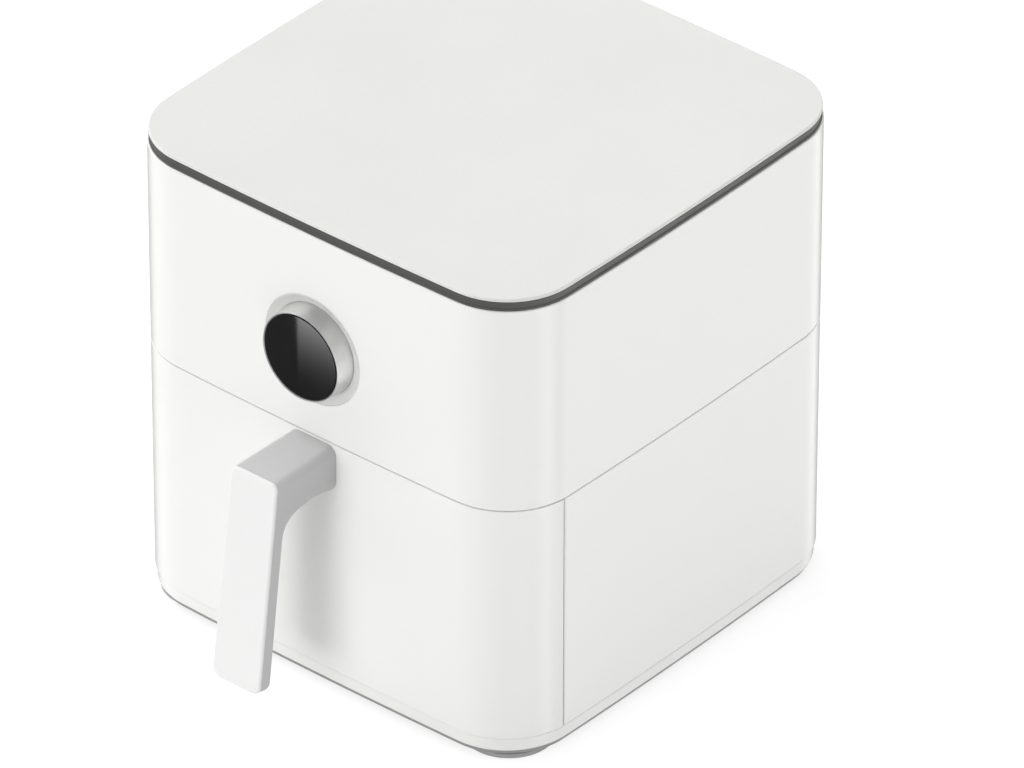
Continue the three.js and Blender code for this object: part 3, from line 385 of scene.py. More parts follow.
@dataclass(frozen=True)
class NonStickCoating(Finish):
    """A dark sprayed coating with fine pale flecks and wiped patches."""

    fleck: float = 0.0011
    fleck_groups: float = 0.004
    wiped_size: float = 0.05
    fleck_tone: Triple = (0.22, 0.22, 0.23)
    rubbed_tone: Triple = (0.2, 0.2, 0.2)
    peel: tuple[Point, Point] = ((0.0009, 0.00002), (0.012, 0.00006))

    def paint(self, surface: Surface) -> None:
        """Adds flecks, orange peel and rubbed edges.

        Args:
            surface: An empty surface to build on.
        """
        dots = surface.spread(surface.cells(self.fleck)["Distance"], 0.1, 0.24, 0.55, 0.0)
        flecks = surface.times(dots, surface.spread(surface.noise(self.fleck_groups), 0.5, 0.56))
        tone = surface.blend(flecks, self.tone, self.fleck_tone)
        tone = surface.blend(surface.times(surface.worn_edges(0.1), 0.25), tone, self.rubbed_tone)
        wiped = surface.noise(self.wiped_size, 4.0, 0.6)
        rough = surface.spread(wiped, 0.32, 0.68, self.roughness * 0.8, self.roughness * 1.3)
        surface.set(Base_Color=tone, Roughness=rough, Coat_Weight=0.15, Coat_Roughness=0.3)
        fine, coarse = self.peel
        surface.bump((surface.noise(fine[0]), fine[1]), (surface.noise(coarse[0], 1.0), coarse[1]))


@dataclass(frozen=True)
class Elastomer(Finish):
    """Rubber or silicone: soft, dusty, finely grained."""

    dust: float = 0.25
    dust_size: float = 0.014
    grain: float = 0.0005
    grain_depth: float = 0.00002

    def paint(self, surface: Surface) -> None:
        """Adds dust in patches and a fine grain.

        Args:
            surface: An empty surface to build on.
        """
        patches = surface.spread(surface.noise(self.dust_size, 5.0, 0.65), 0.42, 0.7, 0.0, self.dust)
        dusty = shade(tuple(0.2 + 0.8 * channel for channel in self.tone), 0.8)
        rough = surface.plus(patches, self.roughness)
        surface.set(Base_Color=surface.blend(patches, self.tone, dusty), Roughness=rough)
        surface.set(Sheen_Weight=0.2, Sheen_Roughness=0.5)
        surface.bump((surface.noise(self.grain, 3.0), self.grain_depth))


@dataclass(frozen=True)
class DisplayGlass(Finish):
    """Coated black glass, faintly smeared where fingers press it."""

    reflectance: float = 0.12
    smear_size: float = 0.012
    wave_size: float = 0.02
    wave_depth: float = 0.0000015

    def paint(self, surface: Surface) -> None:
        """Adds smears to the gloss and a trace of blue-grey depth.

        Args:
            surface: An empty surface to build on.
        """
        smears = surface.noise(self.smear_size, 5.0, 0.65, surface.about((0, 0, 0), (1, 1, 0.35)))
        tone = self.varied(surface, surface.spread(smears, 0.35, 0.65), 1.0, 1.5)
        rough = surface.spread(smears, 0.35, 0.75, self.roughness, self.roughness * 2.2)
        surface.set(Base_Color=tone, Roughness=rough, Specular_IOR_Level=self.reflectance)
        surface.bump((surface.noise(self.wave_size, 1.0), self.wave_depth))


@dataclass(frozen=True)
class PrintedCircuit(Finish):
    """A circuit board with tracks, pads and solder mask."""

    tracks_per_metre: float = 90.0
    pad_pitch: float = 1 / 320
    solder: Triple = (0.75, 0.7, 0.6)
    track_depth: float = 0.00003

    def paint(self, surface: Surface) -> None:
        """Adds tracks as bricks and pads as dots.

        Args:
            surface: An empty surface to build on.
        """
        shades = {"Color1": 1.0, "Color2": 0.8, "Mortar": 1.7}
        inputs = {name: (*shade(self.tone, factor), 1) for name, factor in shades.items()}
        inputs |= {"Vector": surface.place, "Scale": self.tracks_per_metre, "Mortar Size": 0.035}
        brick = surface.add("ShaderNodeTexBrick", inputs).outputs
        pads = surface.spread(surface.cells(self.pad_pitch)["Distance"], 0.16, 0.22, 1.0, 0.0)
        rough = surface.spread(pads, 0, 1, self.roughness, 0.22)
        tone = surface.blend(pads, brick["Color"], self.solder)
        surface.set(Base_Color=tone, Roughness=rough, Metallic=pads)
        surface.bump((brick["Fac"], self.track_depth))


WHITE_GLOSS = MouldedPlastic(
    "white_gloss", "white_gloss", (0.865, 0.873, 0.828), 0.2, 0.0009, 0.0000012, 0.006, 0.000012, lacquer=0.7
)
LID_WHITE = MouldedPlastic(
    "lid_white", "white_matte", (0.812, 0.818, 0.79), 0.5, 0.0011, 0.00003, 0.012, speckle=0.3
)
VENT_WHITE = MouldedPlastic(
    "vent_white", "white_matte", (0.8, 0.81, 0.785), 0.48, 0.0008, 0.00002, 0.015, wear=0.1
)
HANDLE_WHITE = MouldedPlastic(
    "handle_white", "handle_white", (0.92, 0.923, 0.902), 0.36, 0.0005, 0.000004, 0.008, wear=0.05
)
HANDLE_GREY = MouldedPlastic(
    "handle_grey", "handle_grey", (0.68, 0.68, 0.69), 0.42, 0.0005, 0.000005, 0.012, wear=0.08
)
# Dark plastic of the intake ring; its dark tone also paints the shade of the gap under the lid.
BAND_DARK_AND_GAP_SHADE = MouldedPlastic(
    "band_dark", "dark_plastic", (0.085, 0.085, 0.082), 0.5, 0.0006, 0.00001, 0.03
)
PLATE_GREY = MouldedPlastic(
    "plate_grey", "dark_plastic", (0.33, 0.332, 0.33), 0.5, 0.0006, 0.00001, 0.03
)
FRAME_DARK = MouldedPlastic(
    "frame_dark", "dark_plastic", (0.055, 0.056, 0.058), 0.5, 0.0009, 0.00003, 0.08, wear=0.12
)
INNER_DARK = MouldedPlastic(
    "inner_dark", "dark_plastic", (0.07, 0.071, 0.073), 0.46, 0.0008, 0.00003, 0.06, wear=0.15
)
BEZEL_GREY = MouldedPlastic(
    "bezel_grey", "bezel_grey", (0.58, 0.58, 0.568), 0.34, 0.0003, 0.000003, 0.012
)
SMALL_DARK = MouldedPlastic("small_dark", "dark_plastic", (0.03, 0.03, 0.032), 0.4, 0.0005, 0.00001, 0.1)
PIN_WHITE = MouldedPlastic("pin_white", "white_matte", (0.72, 0.72, 0.69), 0.35, 0.0004, 0.000004, 0.03)
SHEET_STEEL = BrushedMetal("sheet_steel", "sheet_steel", (0.56, 0.565, 0.57), 0.34)
BRACKET_STEEL = BrushedMetal("bracket_steel", "sheet_steel", (0.52, 0.525, 0.53), 0.38, Brushing.UPRIGHT)
SCREW_STEEL = BrushedMetal("screw_steel", "sheet_steel", (0.6, 0.59, 0.56), 0.3, line=0.0002)
HEATER_STEEL = HotSteel("heater_steel", "sheet_steel", (0.6, 0.6, 0.58), 0.36)
ELEMENT_STEEL = HotSteel("element_steel", "sheet_steel", (0.3, 0.28, 0.26), 0.5, 0.002, 0.8)
PAN_COATING = NonStickCoating("pan_coating", "non_stick", (0.022, 0.022, 0.024), 0.42)
FOOT_RUBBER = Elastomer("foot_rubber", "grey_rubber", (0.4, 0.402, 0.402), 0.6)
RAIL_RUBBER = Elastomer("rail_rubber", "grey_rubber", (0.12, 0.12, 0.12), 0.5)
BUMPER_SILICONE = Elastomer("bumper_silicone", "silicone", (0.02, 0.02, 0.021), 0.45, 0.12)
BOARD_GREEN = PrintedCircuit("board_green", "circuit_board", (0.02, 0.12, 0.05), 0.38)
DISPLAY_BLACK = DisplayGlass("display_black", "black_glass", (0.0045, 0.0046, 0.0052), 0.05)


# ---------------------------------------------------------------- outlines
def arc(x: float, y: float, radius: float, start: float, end: float, steps: int) -> list[Point]:
    """Points along an arc, both ends included.

    Args:
        x: Its centre.
        y: Its centre.
        radius: Its radius.
        start: First angle, in radians.
        end: Last angle.
        steps: How many pieces it has.

    Returns:
        The points.
    """
    angles = (start + (end - start) * i / steps for i in range(steps + 1))
    return [(x + radius * math.cos(a), y + radius * math.sin(a)) for a in angles]


def filleted(corners: Sequence[Triple], steps: int = 4) -> list[Point]:
    """A closed outline with rounded corners.

    Args:
        corners: Each corner's two coordinates and its rounding radius.
        steps: Pieces in each rounding.

    Returns:
        The outline's points.
    """
    outline: list[Point] = []
    for i, (x, y, radius) in enumerate(corners):
        here = Vector((x, y))
        if not radius:
            outline.append((x, y))
            continue
        before = (Vector(corners[i - 1][:2]) - here).normalized()
        after = (Vector(corners[(i + 1) % len(corners)][:2]) - here).normalized()
        half = before.angle(after) / 2
        centre = here + (before + after).normalized() * (radius / math.sin(half))
        first, last = (here + side * (radius / math.tan(half)) - centre for side in (before, after))
        start = math.atan2(first.y, first.x)
        turn = (math.atan2(last.y, last.x) - start + math.pi) % TURN - math.pi
        outline += arc(centre.x, centre.y, radius, start, start + turn, steps)
    return outline


@dataclass(frozen=True)
class Station:
    """A place on an outline seen from above, and the way out of the body there."""

    x: float
    y: float
    out_x: float
    out_y: float

    def inside(self, inset: float) -> Point:
        """The place moved inwards."""
        return self.x - self.out_x * inset, self.y - self.out_y * inset


def arc_stations(x: float, y: float, radius: float, start: float, end: float, steps: int) -> list[Station]:
    """Stations on an arc given as in arc(), both ends included."""
    ways = arc(0, 0, 1, start, end, steps)
    return [Station(x + radius * out_x, y + radius * out_y, out_x, out_y) for out_x, out_y in ways]


def square_stations(half: float, radius: float, centre_y: float) -> list[Station]:
    """Stations round a square with round corners.

    Args:
        half: Half the square's width.
        radius: Radius of its corners.
        centre_y: Its middle along Y.

    Returns:
        Stations counter-clockwise.
    """
    found = []
    for quarter in range(4):
        start = quarter * QUARTER
        middle, reach = start + QUARTER / 2, (half - radius) * math.sqrt(2)
        x, y = reach * math.cos(middle), reach * math.sin(middle) + centre_y
        found += arc_stations(x, y, radius, start, start + QUARTER, 12)
    return found


@dataclass(frozen=True)
class BodyPlan:
    """The body seen from above: a square with crowned sides and round corners."""

    centre_y: float
    half: float = 0.1477
    corner_radius: float = 0.045
    crown_radius: float = 4.0
    seam_lead: float = 0.0029
    side_steps: int = 14
    corner_steps: int = 20
    seam_steps: int = 4

    @property
    def crown_centre(self) -> float:
        """How far a side's arc centre is from the middle, towards the far side."""
        return self.half - self.crown_radius

    @property
    def corner_centre(self) -> float:
        """How far a corner's arc centre is from the middle, both ways."""
        reach = self.crown_radius - self.corner_radius
        return (self.crown_centre + math.sqrt(2 * reach**2 - self.crown_centre**2)) / 2

    @property
    def tilt(self) -> float:
        """Half the angle that a side's arc turns through."""
        return math.asin(self.corner_centre / (self.crown_radius - self.corner_radius))

    def crown(self, along: float) -> float:
        """How far a side stands from the middle plane, at a distance along it."""
        return self.crown_centre + math.sqrt(self.crown_radius**2 - along**2)

    def side(self, quarter: int) -> list[Station]:
        """A side's stations.

        Args:
            quarter: 0 right, 1 back, 2 left, 3 front.

        Returns:
            Stations counter-clockwise, without the last one.
        """
        turn = quarter * QUARTER
        x, y = self.crown_centre * math.cos(turn), self.crown_centre * math.sin(turn) + self.centre_y
        start, end = turn - self.tilt, turn + self.tilt
        return arc_stations(x, y, self.crown_radius, start, end, self.side_steps)[:-1]

    def corner(
        self, quarter: int, start: float | None = None, end: float | None = None, steps: int | None = None
    ) -> list[Station]:
        """A corner's stations.

        Args:
            quarter: 0 back right, 1 back left, 2 front left, 3 front right.
            start: First angle if not the whole corner.
            end: Last angle if not the whole corner.
            steps: Pieces if not as many as usual.

        Returns:
            Stations counter-clockwise, the last one included only if the end is given.
        """
        turn = quarter * QUARTER
        at = self.corner_centre * math.sqrt(2)
        x, y = at * math.cos(turn + QUARTER / 2), at * math.sin(turn + QUARTER / 2) + self.centre_y
        first, last = start or turn + self.tilt, end or turn + QUARTER - self.tilt
        stations = arc_stations(x, y, self.corner_radius, first, last, steps or self.corner_steps)
        return stations if end else stations[:-1]

    def ring(self) -> list[Station]:
        """The whole outline."""
        return [s for quarter in range(4) for s in (*self.side(quarter), *self.corner(quarter))]

    def seam_angle(self, shift: float) -> float:
        """Where the side seam is on a front corner's arc: a little ahead of the arc's end, and shifted."""
        ahead = self.corner_radius * math.sin(self.tilt) + self.seam_lead
        return math.asin((shift - ahead) / self.corner_radius)

    def front(self, gap: float) -> list[Station]:
        """The outline from one side seam round the front to the other."""
        angle = self.seam_angle(-gap)
        return self.corner(2, start=math.pi - angle) + self.side(3) + self.corner(3, end=TURN + angle)

    def back(self, gap: float) -> list[Station]:
        """The outline from one side seam round the back to the other.

        Args:
            gap: How far each end keeps back from its seam.

        Returns:
            Stations counter-clockwise.
        """
        angle, steps = self.seam_angle(gap), self.seam_steps
        run = self.corner(3, start=TURN + angle, steps=steps) + self.side(0) + self.corner(0)
        run += self.side(1) + self.corner(1) + self.side(2)
        return run + self.corner(2, end=math.pi - angle, steps=steps)


# ---------------------------------------------------------------- meshes
def skinned(rings: Sequence[Sequence[Sequence[float]]], closed: bool = True) -> BMesh:
    """A skin over rings of points.

    Args:
        rings: The rings, with as many points each.
        closed: Whether the last ring joins the first. If not, both are filled.

    Returns:
        The mesh, with its faces turned outwards.
    """
    shape = bmesh.new()
    rows = [[shape.verts.new(p) for p in ring] for ring in rings]
    for one, two in list(zip(rows, rows[1:])) + ([(rows[-1], rows[0])] if closed else []):
        for i in range(len(one)):
            shape.faces.new((one[i - 1], one[i], two[i], two[i - 1]))
    for row in () if closed else (rows[0], rows[-1]):
        shape.faces.new(row)
    bmesh.ops.recalc_face_normals(shape, faces=shape.faces)
    return shape


def swept(stations: Sequence[Station], sections: Sequence[Sequence[Point]], closed: bool) -> BMesh:
    """A section, given at each station as insets and heights, carried along stations."""
    pairs = zip(stations, sections)
    return skinned([[(*s.inside(inset), z) for inset, z in section] for s, section in pairs], closed)


def stacked(name: str, ring: Sequence[Station], rows: Sequence[Point]) -> Object:
    """An object of outlines one above the other, filled at both ends.

    Args:
        name: The object's name.
        ring: The outline.
        rows: Each outline's inset and height.

    Returns:
        The object.
    """
    return object_from(skinned([[(*s.inside(inset), z) for s in ring] for inset, z in rows], False), name)


class Axis(Enum):
    """Which way a turned shape or a screw points."""

    FORWARD = (QUARTER, 0, 0)
    UP = (0, 0, 0)


def turned(
    profile: Sequence[Point], centre: Sequence[float], axis: Axis = Axis.FORWARD, segments: int = 144
) -> BMesh:
    """A profile turned round an axis.

    Args:
        profile: Closed outline as radius and distance along the axis.
        centre: A point on the axis, from which distances count.
        axis: Which way distances count.
        segments: Pieces round the axis.

    Returns:
        The mesh, its points on the axis merged.
    """
    rings = []
    for c, s in arc(0, 0, 1, 0, TURN, segments)[:-1]:
        flat = [(r * c, -d, r * s) if axis is Axis.FORWARD else (r * c, r * s, d) for r, d in profile]
        rings.append([tuple(a + b for a, b in zip(p, centre)) for p in flat])
    shape = skinned(rings)
    bmesh.ops.remove_doubles(shape, verts=shape.verts, dist=SAME_PLACE)
    bmesh.ops.dissolve_degenerate(shape, edges=shape.edges, dist=1e-7)
    bmesh.ops.recalc_face_normals(shape, faces=shape.faces)
    return shape


def object_from(shape: BMesh, name: str) -> Object:
    """Puts a mesh into the scene as an object at the origin.

    Args:
        shape: The mesh, which is used up.
        name: The object's name.

    Returns:
        The object.
    """
    mesh = bpy.data.meshes.new(name)
    shape.to_mesh(mesh)
    shape.free()
    obj = bpy.data.objects.new(name, mesh)
    bpy.context.scene.collection.objects.link(obj)
    return obj


def points_object(name: str, points: Sequence[Sequence[float]], path: bool = False) -> Object:
    """An object of bare points, or of one path through them.

    Args:
        name: The object's name.
        points: The points.
        path: Whether each point is joined to the next.

    Returns:
        The object.
    """
    shape = bmesh.new()
    verts = [shape.verts.new(p) for p in points]
    for ends in zip(verts, verts[1:]) if path else ():
        shape.edges.new(ends)
    return object_from(shape, name)


def freeze(obj: Object) -> Object:
    """Turns what the object's modifiers make of it into its own plain mesh.

    Args:
        obj: The object.

    Returns:
        The same object, without modifiers.
    """
    graph = bpy.context.evaluated_depsgraph_get()
    seen = obj.evaluated_get(graph)
    made = bpy.data.meshes.new_from_object(seen, preserve_all_data_layers=True, depsgraph=graph)
    obj.modifiers.clear()
    old, obj.data = obj.data, made
    bpy.data.meshes.remove(old)
    obj.data.name = obj.name
    return obj


def settle(obj: Object, kind: str, **settings: Any) -> Object:
    """Applies a modifier for good.

    Args:
        obj: The object.
        kind: The modifier's type.
        settings: The modifier's settings by name.

    Returns:
        The same object.
    """
    modifier = obj.modifiers.new(kind.lower(), kind)
    for name, value in settings.items():
        setattr(modifier, name, value)
    return freeze(obj)


def cut(obj: Object, *tools: BMesh) -> Object:
    """Cuts shapes out of an object.

    Args:
        obj: The object.
        tools: The shapes, which are used up.

    Returns:
        The same object.
    """
    for tool in tools:
        cutter = object_from(tool, "cutter")
        settle(obj, "BOOLEAN", operation="DIFFERENCE", object=cutter, solver="EXACT")
        bpy.data.objects.remove(cutter)
    return obj


def drill(radius: float, start: float, end: float, centre: Sequence[float], segments: int) -> BMesh:
    """A round bar for cutting with.

    Args:
        radius: Its radius.
        start: Its rear end, towards the front from the centre.
        end: Its front end.
        centre: A point on its axis.
        segments: Pieces round it.

    Returns:
        The bar.
    """
    return turned([(0, start), (radius, start), (radius, end), (0, end)], centre, segments=segments)


def block(low: Sequence[float], high: Sequence[float]) -> BMesh:
    """A plain box for cutting with."""
    (x0, y0, z0), (x1, y1, z1) = low, high
    return skinned([[(x0, y0, z), (x1, y0, z), (x1, y1, z), (x0, y1, z)] for z in (z0, z1)], False)


def smooth(obj: Object) -> Object:
    """Shades an object smooth, except across sharp edges, with large faces kept flat.

    Args:
        obj: The object.

    Returns:
        The same object.
    """
    obj.data.shade_smooth()
    obj.data.set_sharp_from_angle(angle=SMOOTH_ANGLE)
    return settle(obj, "WEIGHTED_NORMAL", keep_sharp=True, weight=60)


def refined_copy(node: str, name: str, edge: float) -> Object:
    """A CAD node's shape with its facets merged and its edges broken.

    Args:
        node: The CAD node.
        name: The new piece's name.
        edge: Width of the broken edges.

    Returns:
        The new object.
    """
    shape = bmesh.new()
    shape.from_mesh(frame["nodes"][node].data)
    bmesh.ops.remove_doubles(shape, verts=shape.verts, dist=SAME_PLACE)
    bmesh.ops.dissolve_limit(shape, angle_limit=math.radians(1), verts=shape.verts, edges=shape.edges)
    return settle(object_from(shape, name), "BEVEL", width=edge, segments=2, limit_method="ANGLE",
                  angle_limit=SMOOTH_ANGLE, use_clamp_overlap=True, miter_outer="MITER_ARC")


@dataclass(frozen=True)
class Solid:
    """A CAD node's box."""

    low: Vector
    high: Vector

    @classmethod
    def of(cls, node: str) -> "Solid":
        """The box of that node at rest."""
        return cls(*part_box(node))

    @property
    def middle(self) -> Vector:
        """The box's centre."""
        return (self.low + self.high) / 2

    @property
    def width(self) -> float:
        """The box's length along X."""
        return self.high.x - self.low.x

    @property
    def depth(self) -> float:
        """The box's length along Y."""
        return self.high.y - self.low.y

    @property
    def height(self) -> float:
        """The box's length along Z."""
        return self.high.z - self.low.z


PLAN = BodyPlan(centre_y=Solid.of("upper_housing").middle.y)


def hoop(name: str, corners: Sequence[Triple], steps: int) -> Object:
    """One section carried all the way round the body.

    Args:
        name: The object's name.
        corners: The section's corners as insets, heights and rounding radii.
        steps: Pieces in each rounding.

    Returns:
        The object.
    """
    ring, section = PLAN.ring(), filleted(corners, steps)
    return object_from(swept(ring, [section] * len(ring), True), name)


def wall_strip(name: str, node: str, run: list[Station], wall: float, edge: float) -> Object:
    """An upright wall along an open run, with its ends rounded as its other edges are.

    Args:
        name: The object's name.
        node: The CAD node that gives its height.
        run: The run's stations.
        wall: Thickness.
        edge: Rounding.

    Returns:
        The wall.
    """
    solid = Solid.of(node)
    stations: list[Station] = []
    sections: list[list[Point]] = []

    def add(station: Station, shrink: float = 0.0) -> None:
        """Adds a station with a section that is smaller all round by so much."""
        outer, inner, low, high = shrink, wall - shrink, solid.low.z + shrink, solid.high.z - shrink
        corners = [(outer, low, edge), (outer, high, edge), (inner, high, edge), (inner, low, edge)]
        stations.append(station)
        sections.append(filleted(corners, 3))

    def end(at: Station, beside: Station, turns: Iterable[float]) -> None:
        """Adds the stations of one rounded end."""
        away = Vector((beside.x - at.x, beside.y - at.y)).normalized()
        for turn in turns:
            step = edge * (1 - math.cos(turn))
            place = Station(at.x + away.x * step, at.y + away.y * step, at.out_x, at.out_y)
            add(place, edge * (1 - math.sin(turn)) * 0.98)

    turns = [QUARTER * i / 3 for i in range(4)]
    end(run[0], run[1], turns)
    for station in run[1:-1]:
        add(station)
    end(run[-1], run[-2], reversed(turns))
    return object_from(swept(stations, sections, False), name)


def dress(obj: Object, finish: Finish, *nodes: str) -> Object:
    """Smooths a piece and gives it its finish and its place in the frame.

    Args:
        obj: The piece.
        finish: Its finish.
        *nodes: The CAD nodes it stands for, with whose body it rides.

    Returns:
        The piece.
    """
    smooth(obj)
    obj.data.materials.clear()
    obj.data.materials.append(finish.material())
    bodies = frame["record"]["behaviour"]["bodies"]
    body = next(name for name, members in bodies.items() if nodes[0] in members)
    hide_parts(*nodes)
    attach(obj, body)
    faces = len(obj.data.polygons)
    LOG.info("%s: %d faces, rides on %s, stands for %s", obj.name, faces, body, ", ".join(nodes))
    return obj


def paint_nodes(finish: Finish, *nodes: str) -> None:
    """Gives CAD nodes that keep their own mesh a finish.

    Args:
        finish: The finish.
        nodes: The nodes' names.
    """
    for node in nodes:
        mesh = frame["nodes"][node].data
        mesh.materials.clear()
        mesh.materials.append(finish.material())
        LOG.info("%s: keeps its solid, in %s", node, finish.name)


class Recipe(Graph):
    """A Geometry Nodes tree with named sizes, which ends in real geometry in one finish."""

    def __init__(self, name: str, **sizes: float | int) -> None:
        """Makes the tree and its inputs.

        Args:
            name: The tree's name.
            **sizes: Its sizes by name, with _ for each space.
        """
        super().__init__(bpy.data.node_groups.new(name, "GeometryNodeTree"))
        face = self.tree.interface
        for way in ("OUTPUT", "INPUT"):
            face.new_socket("Geometry", in_out=way, socket_type="NodeSocketGeometry")
        self.sizes = {label.replace("_", " "): value for label, value in sizes.items()}
        for label, value in self.sizes.items():
            kind = "NodeSocketInt" if isinstance(value, int) else "NodeSocketFloat"
            face.new_socket(label, in_out="INPUT", socket_type=kind)
        self.given = self.add("NodeGroupInput").outputs

    def cube(self, size: Any) -> Node:
        """A box round the origin."""
        return self.add("GeometryNodeMeshCube", {"Size": size})

    def cylinder(self, vertices: int, radius: Any, depth: Any) -> Node:
        """An upright cylinder round the origin."""
        return self.add("GeometryNodeMeshCylinder", {"Vertices": vertices, "Radius": radius, "Depth": depth})

    def circle(self, resolution: Any, radius: Any) -> Node:
        """A flat circle round the origin."""
        return self.add("GeometryNodeCurvePrimitiveCircle", {"Resolution": resolution, "Radius": radius})

    def tube(self, path: Any, section: Any) -> Node:
        """A section carried along a curve, with closed ends."""
        inputs = {"Curve": path, "Profile Curve": section, "Fill Caps": True}
        return self.add("GeometryNodeCurveToMesh", inputs)

    def moved(
        self, geometry: Any, shift: Any = (0, 0, 0), turn: Triple = (0, 0, 0), scale: Triple = (1, 1, 1)
    ) -> Node:
        """Geometry scaled, turned and moved."""
        inputs = {"Geometry": geometry, "Translation": shift, "Rotation": turn, "Scale": scale}
        return self.add("GeometryNodeTransform", inputs)

    def joined(self, *geometries: Any) -> Node:
        """Several geometries as one.

        Args:
            geometries: What to join.

        Returns:
            The joined geometry.
        """
        node = self.add("GeometryNodeJoinGeometry")
        for geometry in geometries:
            self.feed(node.inputs[0], geometry)
        return node

    def real(self, geometry: Any) -> Node:
        """Geometry with its instances made real."""
        return self.add("GeometryNodeRealizeInstances", {0: geometry})

    def placed(self, points: Any, instance: Any) -> Node:
        """Copies of an instance on points."""
        return self.add("GeometryNodeInstanceOnPoints", {"Points": points, "Instance": instance})

    def fanned(self, instance: Any, count: Any, whole: float, first: float = 0.0) -> Node:
        """Copies of an instance turned about the upright axis.

        Args:
            instance: What is copied.
            count: How many copies.
            whole: The angle that they share out evenly.
            first: The angle of the first.

        Returns:
            The copies.
        """
        seats = self.add("GeometryNodeMeshLine", {"Count": count, "Offset": (0, 0, 0)})
        index = self.add("GeometryNodeInputIndex")
        turn = self.math("DIVIDE", self.times(index, whole), count)
        copies = self.placed(seats, instance)
        self.feed(copies.inputs["Rotation"], self.vector(z=self.plus(turn, first)))
        return copies

    def carved(self, body: Any, tools: Any) -> Node:
        """A body with tools cut out of it."""
        inputs = {"Mesh 1": body, "Mesh 2": self.real(tools)}
        return self.add("GeometryNodeMeshBoolean", inputs, operation="DIFFERENCE", solver="EXACT")

    def make(self, obj: Object, geometry: Any, finish: Finish) -> Object:
        """Ends the tree, runs it on an object and keeps the result as its plain mesh.

        Args:
            obj: The object that the tree starts from.
            geometry: The tree's result.
            finish: What it is painted with.

        Returns:
            The object.
        """
        inputs = {"Geometry": self.real(geometry), "Material": finish.material()}
        self.add("NodeGroupOutput", {0: self.add("GeometryNodeSetMaterial", inputs)})
        modifier = obj.modifiers.new("recipe", "NODES")
        modifier.node_group = self.tree
        for item in self.tree.interface.items_tree:
            if item.in_out == "INPUT" and item.name in self.sizes:
                modifier[item.identifier] = self.sizes[item.name]
        return freeze(obj)


# ---------------------------------------------------------------- sub-assemblies
@dataclass(frozen=True)
class Screws:
    """Pan-head screws with cross recesses, all pointing the same way."""

    length: float
    axis: Axis
    head_radius: float = 0.0036
    head_height: float = 0.0018
    core_radius: float = 0.002
    slot_width: float = 0.0007
    slot_depth: float = 0.0008

    def make(self, name: str, points: Sequence[Sequence[float]]) -> Object:
        """The screws as one object.

        Args:
            name: The piece's name.
            points: The middle of each head's face.

        Returns:
            The object.
        """
        recipe = Recipe(name, Head_Radius=self.head_radius, Core_Radius=self.core_radius, Length=self.length,
                        Head_Height=self.head_height)
        given = recipe.given
        head = recipe.cylinder(28, given["Head Radius"], given["Head Height"])
        head = recipe.moved(head, recipe.vector(z=recipe.times(given["Head Height"], 0.5)))
        slot = recipe.vector(recipe.times(given["Head Radius"], 1.15), self.slot_width, 4 * self.slot_depth)
        slot = recipe.cube(slot)
        cross = recipe.joined(slot, recipe.moved(slot, turn=(0, 0, QUARTER)))
        head = recipe.carved(head, recipe.moved(cross, (0, 0, -self.slot_depth)))
        shank = recipe.cylinder(16, given["Core Radius"], given["Length"])
        shank = recipe.moved(shank, recipe.vector(z=recipe.times(given["Length"], 0.5)))
        head_space = recipe.cube((0.02, 0.02, 2 * self.head_height))
        screw = recipe.moved(recipe.joined(head, recipe.carved(shank, head_space)), turn=self.axis.value)
        return recipe.make(points_object(name, points), recipe.placed(given["Geometry"], screw), SCREW_STEEL)


